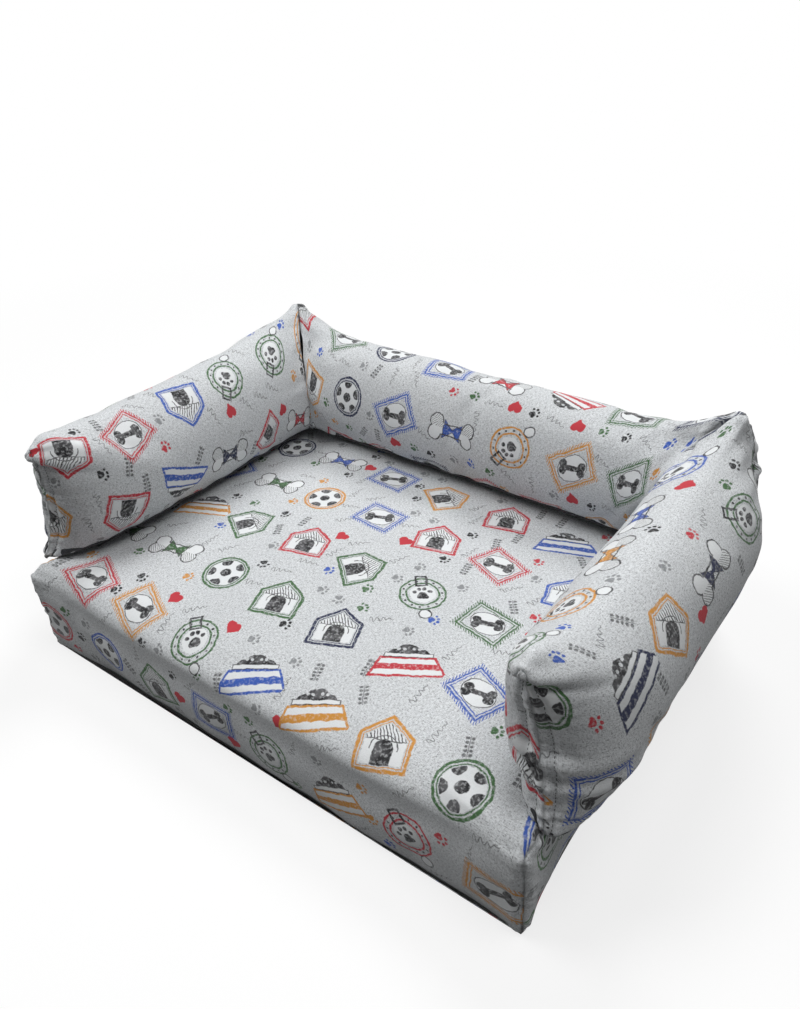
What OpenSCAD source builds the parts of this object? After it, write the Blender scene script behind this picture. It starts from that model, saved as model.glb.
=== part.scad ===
// Dog sofa bed: a foam mattress in a zipped cover under a mitred ring of three stuffed bolsters
// Millimetres, +Z up, floor at z = 0, the open front faces -Y, the box over everything is centred on X and Y

/* [Mattress] */
// Width of the mattress across the open front
mattress_w = 600; // [500:5:900]
// Thickness of the mattress at its seams
mattress_t = 108; // [80:1:160]
// Rise of the top's crown in the middle of the lying space
mattress_crown = 7; // [0:0.5:14]
// Radius of the rolled front edge
front_r = 30; // [12:1:40]
// How far the sides and the front swell out between their seams
side_swell = 3; // [0:0.5:6]
// How far the front corners draw back behind the middle of the front
front_draw = 2; // [0:0.5:10]
// How far the side panels draw in at the front and back corners
side_draw = 3; // [0:0.5:8]
// Height of the dark base cloth where it turns up round the foot
base_lip_h = 5; // [3:0.5:10]

/* [Bolster ring] */
// Width of the ring over the bellies of both side bolsters
ring_w = 700; // [600:5:1000]
// Depth of the bed, from the front of the mattress to the belly of the back bolster
bed_d = 500; // [420:5:800]
// How far the back bolster hangs out past the mattress
back_overhang = 25; // [10:1:50]
// How far the pinched ends stand back from the front of the mattress
end_setback = 20; // [5:1:60]
// Width of a bolster
roll_w = 117; // [90:1:150]
// Height of a bolster above its base cloth
roll_h = 132; // [100:1:170]
// Gap that the touch strips keep between the mattress and the ring
ring_gap = 5; // [4:0.5:8]

/* [Corners and ends of the ring] */
// Rise of the fabric ear over the back left mitre
left_ear_h = 31; // [0:1:45]
// Rise of the fabric ear over the back right mitre
right_ear_h = 29; // [0:1:45]
// Run over which an ear falls away to the top of the bolster
ear_run = 67; // [40:1:90]
// Run over which the outer corners are rounded off
corner_run = 105; // [60:1:120]
// Run over which a side bolster tapers to its pinched end
pinch_run = 128; // [60:1:160]
// Rise of the ear at the top of the left end seam
left_end_ear_h = 8; // [0:1:30]
// Rise of the ear at the top of the right end seam
right_end_ear_h = 22; // [0:1:30]
// How far the top of each end seam leans inwards, and its foot outwards
end_lean = 14; // [0:1:25]
// How far the foot of the right end seam droops over the edge of the mattress
right_end_droop = 9; // [0:1:15]
// How far the middle of an end seam is drawn in behind its two ears
end_recess = 10; // [0:1:20]

/* [Cloth and strips] */
// Thickness of the cover cloth with its lining
cover_t = 1.2; // [0.8:0.1:2]
// Width of the touch strips
strip_w = 20; // [15:1:30]
// Length of the touch strips under the side bolsters
side_strip_len = 260; // [120:5:330]
// Length of the touch strip under the back bolster
back_strip_len = 340; // [160:5:420]
// Thickness of the loop strips
loop_t = 2.1; // [1.5:0.1:2.4]

/* [Zips] */
// Length of the tooth rows in the back of the mattress cover
mattress_zip_len = 470; // [300:5:480]
// Height of the mattress zip above the floor
mattress_zip_z = 54; // [40:1:60]
// Width of each tape of the mattress zip
tape_w = 10; // [8:0.5:12]
// Length of the tooth rows in the back bolster
ring_zip_len = 300; // [200:5:310]
// Distance from tooth to tooth along one row
tooth_pitch = 5; // [4:0.5:8]

/* [Hidden] */
$fn = 32;

// Clearances
seam_gap = 0.3;
seat_gap = 0.3;
touch_gap = 0.4;
overrun = 1;

// Colours of the cloths and trims
print_cloth = [0.72, 0.73, 0.75];
base_cloth = [0.16, 0.17, 0.19];
foam_colour = [0.93, 0.90, 0.78];
fibre_colour = [0.95, 0.95, 0.93];
tape_colour = [0.55, 0.56, 0.58];
tooth_colour = [0.62, 0.63, 0.65];
metal_colour = [0.70, 0.70, 0.70];
strip_colour = [0.10, 0.10, 0.11];

// Planes and lines of the mattress
front_y = -bed_d / 2 + side_swell;
back_y = bed_d / 2 - back_overhang;
mid_y = (front_y + back_y) / 2;
half_d = (back_y - front_y) / 2;
half_w = mattress_w / 2;
foam_gap = 0.8;
zip_depth = 5;
crown_reach_share = 0.8;

// Lines of the ring
base_z = mattress_t + ring_gap;
side_x = ring_w / 2 - roll_w / 2;
back_line_y = bed_d / 2 - roll_w / 2;
end_y = -bed_d / 2 + end_setback;
side_run = back_line_y - end_y;

// Shape of a bolster's section, squarish below and rounder on top
belly_share = 0.93;
top_power = 1.7;
low_power = 2.6;
seam_angle = 24.5;
taper_power = 2.2;
ear_power = 1.2;
pinch_half = cover_t + seam_gap / 2;
end_ear_run = 45;
lean_run = 108;
recess_run = 40;
droop_run = 12;
droop_clear = 2;
left_corner_share = 0.30;
right_corner_share = 0.55;
half_h = roll_h / (1 + belly_share);

// Counts of the cloth grids
round_count = 21;
side_count = 15;
back_count = 16;
across_count = 12;
front_count = 2;
edge_count = 5;
top_count = 8;
rise_count = 3;
zip_row = 3;

// Filling inside the covers
fill_gap = 2.5;
fill_start = 24;
fill_ear_share = 0.5;
mitre_gap = 0.6;

// Zip parts
tape_t = 0.8;
tape_drop = 0.2;
tape_split = 2;
tooth_t = 1.6;
tooth_tip_z = 0.45;
tooth_root_z = 1.7;
tooth_band_z = 3.2;
tooth_tip_w = 1.6;
tooth_root_w = 2.6;
tape_tail = 6;
stop_len = 2.4;
stop_grip = 1.1;
slider_len = 15;
slider_nose_w = 6.4;
slider_w = 10;
plate_t = 1;
slider_gap = 0.3;
flange_t = 0.8;
neck_w = 0.5;
neck_len = 3;
bridge_len = 7;
bridge_w = 2;
bridge_bar = 1;
bridge_room = 2.4;
pull_bar_r = 0.8;
pull_t = 1.2;
pull_w = 7;
pull_len = 27;
pull_window_w = 3.2;
pull_window_far = 5.2;
pull_waist_w = 4.6;

hook_t = ring_gap - 2 * seat_gap - touch_gap - loop_t;
side_strip_x = half_w - strip_w - seat_gap - side_draw;
side_strip_y = back_line_y - roll_w - side_strip_len / 2;

// Power of a value that keeps its sign
function signed_power(v, p) = sign(v) * pow(abs(v), p);

// Bell that is 1 at zero and gone at the end of its run
function bell(d, run) = d < run ? pow(1 - pow(d / run, 2), 2) : 0;

// Soft shape of the mattress: crown, swelling sides and drawn-in corners
function crown_share(v) = bell(abs(v), crown_reach_share);
function soften(p) =
    let (
        across = p[0] / half_w,
        deep = (p[1] - mid_y) / half_d,
        rise = min(max(p[2] / mattress_t, 0), 1),
        belly = 4 * rise * (1 - rise),
        frontness = pow((1 - deep) / 2, 4)
    )
    [
        p[0] - side_draw * across * pow(deep, 2) + side_swell * across * belly * (1 - pow(deep, 2)),
        p[1] + frontness * (front_draw * pow(across, 2) - side_swell * belly * (1 - pow(across, 2))),
        p[2] + mattress_crown * pow(rise, 3) * crown_share(across) * crown_share(deep)
    ];

// Points of the front, the rolled edge and the top, set in by a distance
function front_low_z() = base_lip_h + seam_gap;
function mattress_profile(inset) = concat(
    [for (k = [0 : front_count - 1])
        [front_y + inset, front_low_z() + (mattress_t - front_r - front_low_z()) * k / front_count]],
    [for (k = [0 : edge_count])
        [front_y + front_r - (front_r - inset) * cos(90 * k / edge_count),
         mattress_t - front_r + (front_r - inset) * sin(90 * k / edge_count)]],
    [for (k = [1 : top_count])
        [front_y + front_r + (back_y - front_y - front_r) * k / top_count, mattress_t - inset]]
);

// Half width of a side bolster at a distance behind its pinched end
function roll_half(e, inset) =
    let (
        x = min(e / pinch_run, 1),
        full = pow(1 - pow(1 - x, taper_power), 1 / taper_power)
    )
    pinch_half + (roll_w / 2 - pinch_half) * full - inset;

// A point of a bolster's skin: [out from its centre line, along it, up from its base]
// e runs from the pinched end, m to the mitre; side 0 is left and 1 is right
function roll_point(angle, e, m, inset, floor_h, side, ear_share = 1, droop_share = 1) =
    let (
        c = cos(angle),
        s = sin(angle),
        power = s > 0 ? top_power : low_power,
        raw_u = roll_half(e, inset) * signed_power(c, 2 / power),
        raw_z = max(half_h * belly_share + (half_h - inset) * signed_power(s, 2 / power), floor_h),
        h = raw_z / roll_h,
        end_ear = side == 0 ? left_end_ear_h : right_end_ear_h,
        ear = (side == 0 ? left_ear_h : right_ear_h) * ear_share,
        corner = side == 0 ? left_corner_share : right_corner_share,
        fade = exp(-pow(e / end_ear_run, 1.5)),
        lean = end_lean * exp(-pow(e / lean_run, 2)) * (1 - 2 * h),
        u = raw_u * (raw_u > 0 ? 1 - corner * bell(m, corner_run) : 1) + lean,
        past_edge = (side_x + u - half_w - droop_clear) / droop_run,
        droop = side * right_end_droop * droop_share * fade * pow(1 - h, 2) * min(max(past_edge, 0), 1)
    )
    [
        u,
        end_recess * exp(-pow(e / recess_run, 2)) * (1 - pow(2 * h - 1, 2)),
        raw_z + fade * end_ear * h * h - droop
            + ear * exp(-pow(m / ear_run, ear_power)) * pow(max(s, 0), 3)
    ];

// Angle round the section of grid line j, from the outer base seam over the top to the inner one
function skin_angle(j, count) = -90 + seam_angle + (360 - 2 * seam_angle) * j / count;

// Share along a bolster of grid line i, closer together at both ends
function station(i, count) = (1 - cos(180 * i / count)) / 2;

// Point of a side bolster on the right, as [x, y, z]
function side_place(angle, e, inset, floor_h, side, ear_share = 1, droop_share = 1) =
    let (
        p = roll_point(angle, e, side_run - e, inset, floor_h, side, ear_share, droop_share),
        skew = pow(e / side_run, 3)
    )
    [side_x + p[0], end_y + e + p[1] + p[0] * skew, base_z + p[2]];

// Point of the back bolster
function back_place(angle, x, inset, floor_h, ear_share = 1) =
    let (
        p = roll_point(angle, side_run, side_x - abs(x), inset, floor_h, x < 0 ? 0 : 1, ear_share),
        skew = sign(x) * pow(abs(x) / side_x, 4)
    )
    [x + p[0] * skew, back_line_y + p[0], base_z + p[2]];

// Places of the grid lines along a side bolster and along the back one
function side_station(i) = (side_run - seam_gap) * station(i, side_count);
function back_station(i) = (side_x - seam_gap) * (2 * station(i, back_count) - 1);

// Cells of the back bolster's window, which holds the whole zip
zip_reach = ring_zip_len / 2 + tape_tail + seam_gap;
zip_cell_first = max([for (i = [0 : back_count / 2]) if (back_station(i) <= -zip_reach) i]);
zip_cell_end = back_count - zip_cell_first;

function side_grid(inset, floor_h, side) = [
    for (i = [0 : side_count])
        [for (j = [0 : round_count])
            side_place(skin_angle(j, round_count), side_station(i), inset, floor_h, side)]
];
function back_grid(inset, floor_h) = [
    for (i = [0 : back_count])
        [for (j = [0 : round_count])
            back_place(skin_angle(j, round_count), back_station(i), inset, floor_h)]
];

// True for a cell of the grid that a window leaves out
function in_window(i, j, window) =
    len(window) > 0 && i >= window[0] && i < window[1] && j >= window[2] && j < window[3];

// Two faces of one grid cell
function cell(a, b, c, d) = [[a, b, c], [a, c, d]];

// A cloth between an outer and an inner grid, with an optional window of left-out cells
module cloth(outer, inner, window = []) {
    ni = len(outer) - 1;
    nj = len(outer[0]) - 1;
    row = nj + 1;
    under = (ni + 1) * row;
    skins = [
        for (i = [0 : ni - 1], j = [0 : nj - 1])
            if (!in_window(i, j, window))
                let (a = i * row + j)
                each concat(
                    cell(a, a + 1, a + row + 1, a + row),
                    cell(under + a, under + a + row, under + a + row + 1, under + a + 1))
    ];
    ends = [
        for (j = [0 : nj - 1])
            let (a = j, b = ni * row + j)
            each concat(cell(a, under + a, under + a + 1, a + 1),
                        cell(b, b + 1, under + b + 1, under + b))
    ];
    hems = [
        for (i = [0 : ni - 1])
            let (a = i * row, b = i * row + nj)
            each concat(cell(a, a + row, under + a + row, under + a),
                        cell(b, under + b, under + b + row, b + row))
    ];
    window_ends = len(window) == 0 ? [] : [
        for (j = [window[2] : window[3] - 1])
            let (a = window[0] * row + j, b = window[1] * row + j)
            each concat(cell(a, a + 1, under + a + 1, under + a),
                        cell(b, under + b, under + b + 1, b + 1))
    ];
    window_hems = len(window) == 0 ? [] : [
        for (i = [window[0] : window[1] - 1])
            let (a = i * row + window[2], b = i * row + window[3])
            each concat(cell(a, under + a, under + a + row, a + row),
                        cell(b, b + row, under + b + row, under + b))
    ];
    polyhedron(
        points = concat([for (r = outer) each r], [for (r = inner) each r]),
        faces = concat(skins, ends, hems, window_ends, window_hems),
        convexity = 6
    );
}

// Mean of a list of points
function mean_point(list) =
    [for (k = [0 : 2]) [for (p = list) p[k]] * [for (p = list) 1 / len(list)]];

// A solid lofted through closed rings, its two ends closed round a middle point
module loft(rings) {
    ni = len(rings) - 1;
    n = len(rings[0]);
    first_mid = (ni + 1) * n;
    walls = [
        for (i = [0 : ni - 1], j = [0 : n - 1])
            let (k = (j + 1) % n)
            each cell(i * n + j, i * n + k, (i + 1) * n + k, (i + 1) * n + j)
    ];
    caps = [
        for (j = [0 : n - 1])
            let (k = (j + 1) % n)
            each [[first_mid, k, j], [first_mid + 1, ni * n + j, ni * n + k]]
    ];
    polyhedron(
        points = concat([for (r = rings) each r], [mean_point(rings[0]), mean_point(rings[ni])]),
        faces = concat(walls, caps),
        convexity = 4
    );
}

// Foam block in the mattress cover, with the same crown and rolled edge
module mattress_foam() {
    inset = cover_t + foam_gap;
    top = mattress_profile(inset);
    foam_back = back_y - cover_t - zip_depth;
    outline = concat(
        [[front_y + inset, cover_t + seat_gap]],
        [for (p = top) [min(p[0], foam_back), p[1]]],
        [[foam_back, cover_t + seat_gap]]
    );
    reach = half_w - inset;
    color(foam_colour)
        loft([
            for (i = [0 : across_count])
                [for (p = outline) soften([reach * (2 * i / across_count - 1), p[0], p[1]])]
        ]);
}

// Printed panel over the front, the rolled edge and the top
module mattress_top_panel() {
    outer = mattress_profile(0);
    inner = mattress_profile(cover_t);
    color(print_cloth)
        cloth(
            [for (i = [0 : across_count])
                [for (p = outer) soften([half_w * (2 * i / across_count - 1), p[0], p[1]])]],
            [for (i = [0 : across_count])
                [for (p = inner) soften([half_w * (2 * i / across_count - 1), p[0], p[1]])]]
        );
}

// Printed side panel, drawn on the right
module mattress_side_panel() {
    border = mattress_profile(cover_t + seam_gap);
    columns = [for (k = [front_count : len(border) - 1]) border[k]];
    last_y = back_y - cover_t - seam_gap;
    color(print_cloth)
        cloth(
            [for (p = columns) [for (r = [0 : rise_count])
                soften([half_w, min(p[0], last_y),
                        front_low_z() + (p[1] - front_low_z()) * r / rise_count])]],
            [for (p = columns) [for (r = [0 : rise_count])
                soften([half_w - cover_t, min(p[0], last_y),
                        front_low_z() + (p[1] - front_low_z()) * r / rise_count])]]
        );
}

module mattress_left_panel() {
    mirror([1, 0, 0]) mattress_side_panel();
}

module mattress_right_panel() {
    mattress_side_panel();
}

// Printed back panel with the slot for the zip
module mattress_back_panel() {
    reach = half_w - side_draw;
    slot_half_h = tape_w + seam_gap;
    slot_len = mattress_zip_len + 2 * (tape_tail + seam_gap);
    top_z = mattress_t - cover_t - seam_gap;
    color(print_cloth)
        difference() {
            translate([-reach, back_y - cover_t, front_low_z()])
                cube([2 * reach, cover_t, top_z - front_low_z()]);
            translate([-slot_len / 2, back_y - cover_t - overrun, mattress_zip_z - slot_half_h])
                cube([slot_len, cover_t + 2 * overrun, 2 * slot_half_h]);
        }
}

// Outline of the mattress on the floor, set in by a distance
function foot_outline(inset) =
    let (reach = half_w - inset)
    concat(
        [for (i = [0 : across_count])
            let (p = soften([reach * (2 * i / across_count - 1), front_y + inset, 0])) [p[0], p[1]]],
        [for (k = [1 : top_count])
            let (p = soften([reach, front_y + inset + (back_y - front_y - 2 * inset) * k / top_count, 0]))
            [p[0], p[1]]],
        [for (k = [top_count : -1 : 1])
            let (p = soften([-reach, front_y + inset + (back_y - front_y - 2 * inset) * k / top_count, 0]))
            [p[0], p[1]]]
    );

// Dark base cloth that turns up round the foot of the mattress
module mattress_base_panel() {
    color(base_cloth)
        difference() {
            linear_extrude(base_lip_h) polygon(foot_outline(0));
            translate([0, 0, cover_t]) linear_extrude(base_lip_h) polygon(foot_outline(cover_t));
        }
}

// Printed sleeve of a side bolster, drawn on the right
module side_cover(side) {
    color(print_cloth)
        cloth(side_grid(0, 0, side), side_grid(cover_t, cover_t, side));
}

module left_cover() {
    mirror([1, 0, 0]) side_cover(0);
}

module right_cover() {
    side_cover(1);
}

// Printed sleeve of the back bolster with the window for its zip
module back_cover() {
    color(print_cloth)
        cloth(back_grid(0, 0), back_grid(cover_t, cover_t),
              [zip_cell_first, zip_cell_end, zip_row, zip_row + 1]);
}

// Edge of a bolster's base cloth, on the outer side for turn 1 and the inner side for turn -1
function base_angle(turn) = turn > 0 ? -90 + seam_angle : 270 - seam_angle;
base_inset = cover_t + 4 * seam_gap;
function base_edge(turn, e, side) =
    let (p = side_place(base_angle(turn), e, base_inset, cover_t, side))
    [p[0], p[1]];

// Dark cloth that closes a side bolster underneath, drawn on the right
module side_base_cloth(side) {
    last = side_run - mitre_gap;
    color(base_cloth)
        translate([0, 0, base_z])
            linear_extrude(cover_t)
                polygon(concat(
                    [for (i = [1 : side_count]) base_edge(1, min(side_station(i), last), side)],
                    [for (i = [side_count : -1 : 1]) base_edge(-1, min(side_station(i), last), side)]
                ));
}

module left_base_cloth() {
    mirror([1, 0, 0]) side_base_cloth(0);
}

module right_base_cloth() {
    side_base_cloth(1);
}

function back_base_edge(turn, x) =
    let (p = back_place(base_angle(turn), x, base_inset, cover_t))
    [p[0], p[1]];

// Dark cloth that closes the back bolster underneath
module back_base_cloth() {
    reach = side_x - mitre_gap;
    color(base_cloth)
        translate([0, 0, base_z])
            linear_extrude(cover_t)
                polygon(concat(
                    [for (i = [0 : back_count])
                        back_base_edge(1, min(max(back_station(i), -reach), reach))],
                    [for (i = [back_count : -1 : 0])
                        back_base_edge(-1, min(max(back_station(i), -reach), reach))]
                ));
}

// Fibre filling of a side bolster, drawn on the right
module side_filling(side) {
    floor_h = cover_t + seat_gap;
    last = side_run - mitre_gap;
    steps = side_count + 1;
    turns = round_count + 1;
    color(fibre_colour)
        loft([
            for (i = [0 : steps / 2])
                [for (j = [0 : 2 : turns - 1])
                    side_place(skin_angle(j, round_count),
                               fill_start + (last - fill_start) * station(i, steps / 2),
                               cover_t + fill_gap, floor_h, side, fill_ear_share, 0)]
        ]);
}

module left_filling() {
    mirror([1, 0, 0]) side_filling(0);
}

module right_filling() {
    side_filling(1);
}

// Fibre filling of the back bolster
module back_filling() {
    floor_h = cover_t + seat_gap;
    reach = side_x - mitre_gap;
    turns = round_count + 1;
    color(fibre_colour)
        loft([
            for (i = [0 : back_count / 2])
                [for (j = [0 : 2 : turns - 1])
                    back_place(skin_angle(j, round_count),
                               reach * (2 * station(i, back_count / 2) - 1),
                               cover_t + fill_gap, floor_h, fill_ear_share)]
        ]);
}

// Soft loop strips sewn to the top of the mattress
module side_loop_strip() {
    color(strip_colour)
        translate([side_strip_x, side_strip_y - side_strip_len / 2, mattress_t + seat_gap])
            cube([strip_w, side_strip_len, loop_t]);
}

module loop_strip_left() {
    mirror([1, 0, 0]) side_loop_strip();
}

module loop_strip_right() {
    side_loop_strip();
}

module loop_strip_back() {
    color(strip_colour)
        translate([-back_strip_len / 2, back_line_y - strip_w / 2, mattress_t + seat_gap])
            cube([back_strip_len, strip_w, loop_t]);
}

// Stiff hook strips sewn under the bolsters
module side_hook_strip() {
    color(strip_colour)
        translate([side_strip_x, side_strip_y - side_strip_len / 2, base_z - seat_gap - hook_t])
            cube([strip_w, side_strip_len, hook_t]);
}

module hook_strip_left() {
    mirror([1, 0, 0]) side_hook_strip();
}

module hook_strip_right() {
    side_hook_strip();
}

module hook_strip_back() {
    color(strip_colour)
        translate([-back_strip_len / 2, back_line_y - strip_w / 2, base_z - seat_gap - hook_t])
            cube([back_strip_len, strip_w, hook_t]);
}

// Zip parts in their own frame: X along the rows, Y out of the cloth, Z across, y = 0 on the tapes
module upright_plate(t, y) {
    translate([0, y + t, 0]) rotate([90, 0, 0]) linear_extrude(t) children();
}

// One tape of the zip
module zip_tape(len, width) {
    color(tape_colour)
        upright_plate(tape_t, -tape_t)
            translate([-len / 2 - tape_tail, tape_split])
                square([len + 2 * tape_tail, width - tape_split]);
}

// One row of moulded teeth on its cord
module zip_teeth(len, shift) {
    count = floor((len - shift) / tooth_pitch);
    root = tooth_root_w / 2;
    tip = tooth_tip_w / 2;
    color(tooth_colour)
        upright_plate(tooth_t, 0)
            translate([-len / 2, 0])
                polygon(concat(
                    [[0, tooth_band_z], [0, tooth_root_z]],
                    [for (k = [0 : count - 1])
                        let (x = shift + tooth_pitch * (k + 1 / 2))
                        each [[x - root, tooth_root_z], [x - tip, tooth_tip_z],
                              [x + tip, tooth_tip_z], [x + root, tooth_root_z]]],
                    [[len, tooth_root_z], [len, tooth_band_z]]
                ));
}

// Metal stops clamped over both rows: one across the start, one on each row at the end
module zip_stops(len) {
    color(metal_colour) {
        upright_plate(tooth_t, 0)
            translate([-len / 2 - seam_gap - stop_len, -tooth_band_z])
                square([stop_len, 2 * tooth_band_z]);
        for (turn = [0, 1])
            mirror([0, 0, turn])
                upright_plate(tooth_t, 0)
                    translate([len / 2 + seam_gap, tooth_tip_z + neck_w])
                        square([stop_len, stop_grip * 2]);
    }
}

// Outline of the slider's two plates, narrow at the tail and wide at the nose
module slider_outline() {
    tail_r = slider_nose_w / 2;
    nose_r = slider_w / 2;
    union() {
        translate([-slider_len / 2 + tail_r, 0]) circle(tail_r);
        polygon([
            [-slider_len / 2 + tail_r, -tail_r],
            [slider_len / 2 - tail_r, -nose_r],
            [slider_len / 2, -nose_r + slider_gap * 2],
            [slider_len / 2, nose_r - slider_gap * 2],
            [slider_len / 2 - tail_r, nose_r],
            [-slider_len / 2 + tail_r, tail_r]
        ]);
    }
}

slider_top_y = tooth_t + slider_gap;
hinge_y = slider_top_y + plate_t + bridge_room / 2;
slider_x_at = slider_len / 2 + seam_gap;

// Slider: two plates, side flanges, the neck between the rows and the bridge for the pull
module zip_slider() {
    flange_z = tooth_band_z + slider_gap;
    flange_len = slider_len / 2;
    color(metal_colour) {
        upright_plate(plate_t, slider_top_y) slider_outline();
        upright_plate(plate_t, -tape_t - slider_gap - plate_t) slider_outline();
        for (turn = [0, 1])
            mirror([0, 0, turn])
                translate([-flange_len / 2 + neck_len / 2, slider_gap, flange_z])
                    cube([flange_len, slider_top_y, flange_t]);
        translate([slider_len / 2 - neck_len - slider_gap, -tape_t - slider_gap - plate_t / 2, -neck_w / 2])
            cube([neck_len, tape_t + slider_gap + plate_t + slider_top_y, neck_w]);
        translate([0, slider_top_y + plate_t, -bridge_w / 2])
            linear_extrude(bridge_w)
                difference() {
                    translate([-bridge_len / 2, -plate_t / 2])
                        square([bridge_len, bridge_room + bridge_bar + plate_t / 2]);
                    translate([-bridge_len / 2 + bridge_bar, 0])
                        square([bridge_len - 2 * bridge_bar, bridge_room]);
                }
    }
}

// Pull tab that hangs on the bridge by its cross bar and lies back over the closed rows
module zip_pull() {
    color(metal_colour) {
        translate([0, hinge_y, -pull_window_w / 2 - pull_t / 2])
            cylinder(h = pull_window_w + pull_t, r = pull_bar_r);
        upright_plate(pull_t, hinge_y - pull_t / 2)
            difference() {
                union() {
                    translate([-pull_window_far - pull_t, -pull_window_w / 2 - pull_t])
                        square([pull_window_far + pull_t, pull_window_w + 2 * pull_t]);
                    polygon([
                        [-pull_window_far, -pull_waist_w / 2],
                        [-pull_window_far, pull_waist_w / 2],
                        [-pull_len + pull_w / 2, pull_w / 2],
                        [-pull_len + pull_w / 2, -pull_w / 2]
                    ]);
                    translate([-pull_len + pull_w / 2, 0]) circle(pull_w / 2);
                }
                translate([-pull_window_far, -pull_window_w / 2])
                    square([pull_window_far + overrun, pull_window_w]);
            }
    }
}

// Places a zip in the back of the mattress
module at_mattress_zip() {
    translate([0, back_y - tape_drop, mattress_zip_z]) children();
}

// The two edges of the window in the back bolster, and the plane between them
zip_low = back_place(skin_angle(zip_row, round_count), 0, 0, 0);
zip_high = back_place(skin_angle(zip_row + 1, round_count), 0, 0, 0);
zip_tilt = atan2(zip_high[1] - zip_low[1], zip_high[2] - zip_low[2]);
ring_tape_w = norm(zip_high - zip_low) / 2 - seam_gap;
module at_ring_zip() {
    translate((zip_low + zip_high) / 2)
        rotate([-zip_tilt, 0, 0])
            translate([0, -tape_drop, 0]) children();
}

module mattress_zip_tape_upper() {
    at_mattress_zip() zip_tape(mattress_zip_len, tape_w);
}

module mattress_zip_tape_lower() {
    at_mattress_zip() mirror([0, 0, 1]) zip_tape(mattress_zip_len, tape_w);
}

module mattress_zip_teeth_upper() {
    at_mattress_zip() zip_teeth(mattress_zip_len, 0);
}

module mattress_zip_teeth_lower() {
    at_mattress_zip() mirror([0, 0, 1]) zip_teeth(mattress_zip_len, tooth_pitch / 2);
}

module mattress_zip_stops() {
    at_mattress_zip() zip_stops(mattress_zip_len);
}

module mattress_zip_slider() {
    at_mattress_zip() translate([mattress_zip_len / 2 - slider_x_at, 0, 0]) zip_slider();
}

module mattress_zip_pull() {
    at_mattress_zip() translate([mattress_zip_len / 2 - slider_x_at, 0, 0]) zip_pull();
}

module ring_zip_tape_upper() {
    at_ring_zip() zip_tape(ring_zip_len, ring_tape_w);
}

module ring_zip_tape_lower() {
    at_ring_zip() mirror([0, 0, 1]) zip_tape(ring_zip_len, ring_tape_w);
}

module ring_zip_teeth_upper() {
    at_ring_zip() zip_teeth(ring_zip_len, 0);
}

module ring_zip_teeth_lower() {
    at_ring_zip() mirror([0, 0, 1]) zip_teeth(ring_zip_len, tooth_pitch / 2);
}

module ring_zip_stops() {
    at_ring_zip() zip_stops(ring_zip_len);
}

module ring_zip_slider() {
    at_ring_zip() translate([ring_zip_len / 2 - slider_x_at, 0, 0]) zip_slider();
}

module ring_zip_pull() {
    at_ring_zip() translate([ring_zip_len / 2 - slider_x_at, 0, 0]) zip_pull();
}

mattress_foam();
mattress_top_panel();
mattress_left_panel();
mattress_right_panel();
mattress_back_panel();
mattress_base_panel();
mattress_zip_tape_upper();
mattress_zip_tape_lower();
mattress_zip_teeth_upper();
mattress_zip_teeth_lower();
mattress_zip_stops();
mattress_zip_slider();
mattress_zip_pull();
loop_strip_left();
loop_strip_back();
loop_strip_right();
left_cover();
back_cover();
right_cover();
left_base_cloth();
back_base_cloth();
right_base_cloth();
left_filling();
back_filling();
right_filling();
hook_strip_left();
hook_strip_back();
hook_strip_right();
ring_zip_tape_upper();
ring_zip_tape_lower();
ring_zip_teeth_upper();
ring_zip_teeth_lower();
ring_zip_stops();
ring_zip_slider();
ring_zip_pull();
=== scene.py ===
"""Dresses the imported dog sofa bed: printed cushions, dark base cloths, zips, strips, floor and light."""
import math
from functools import partialmethod

import bmesh
import bpy
import numpy as np
from mathutils import Matrix, Vector
from mathutils.bvhtree import BVHTree
from mathutils.geometry import barycentric_transform


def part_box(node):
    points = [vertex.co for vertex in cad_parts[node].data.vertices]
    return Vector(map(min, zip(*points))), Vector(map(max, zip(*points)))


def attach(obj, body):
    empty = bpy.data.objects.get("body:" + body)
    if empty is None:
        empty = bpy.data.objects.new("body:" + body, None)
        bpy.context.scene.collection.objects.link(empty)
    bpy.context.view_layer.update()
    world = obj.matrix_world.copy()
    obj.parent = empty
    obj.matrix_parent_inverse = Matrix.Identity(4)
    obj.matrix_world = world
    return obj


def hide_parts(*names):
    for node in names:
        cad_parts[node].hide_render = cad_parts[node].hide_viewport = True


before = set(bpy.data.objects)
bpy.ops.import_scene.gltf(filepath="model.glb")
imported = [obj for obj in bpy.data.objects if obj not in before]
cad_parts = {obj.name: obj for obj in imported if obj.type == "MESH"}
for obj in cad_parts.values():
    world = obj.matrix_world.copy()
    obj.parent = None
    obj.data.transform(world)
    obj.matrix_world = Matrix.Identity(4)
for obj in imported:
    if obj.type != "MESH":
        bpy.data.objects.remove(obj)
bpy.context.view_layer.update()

# Sizes in metres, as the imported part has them
MATTRESS_W = 0.600
MATTRESS_T = 0.108
CROWN = 0.007
SIDE_SWELL = 0.003
FRONT_DRAW = 0.002
SIDE_DRAW = 0.003
BED_D = 0.500
BACK_OVERHANG = 0.025
RING_W = 0.700
END_SETBACK = 0.020
ROLL_W = 0.117
ROLL_H = 0.132
CORNER_RUN = 0.105
PINCH_RUN = 0.128
END_LEAN = 0.014
END_RECESS = 0.010
SEAM_GAP = 0.0003

# What differs between the left side, 0, and the right side, 1
EAR_H = (0.031, 0.029)
END_EAR_H = (0.010, 0.021)
TIP_DROP = (0.010, 0.003)
SIDE_LOFT = (0.010, 0.0)
SLIM_SHARE = (0.0, 0.05)
END_DROOP = (0.005, 0.009)
CORNER_SHARE = (0.30, 0.55)
FOLD_SHARE = (0.55, 1.0)

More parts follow.
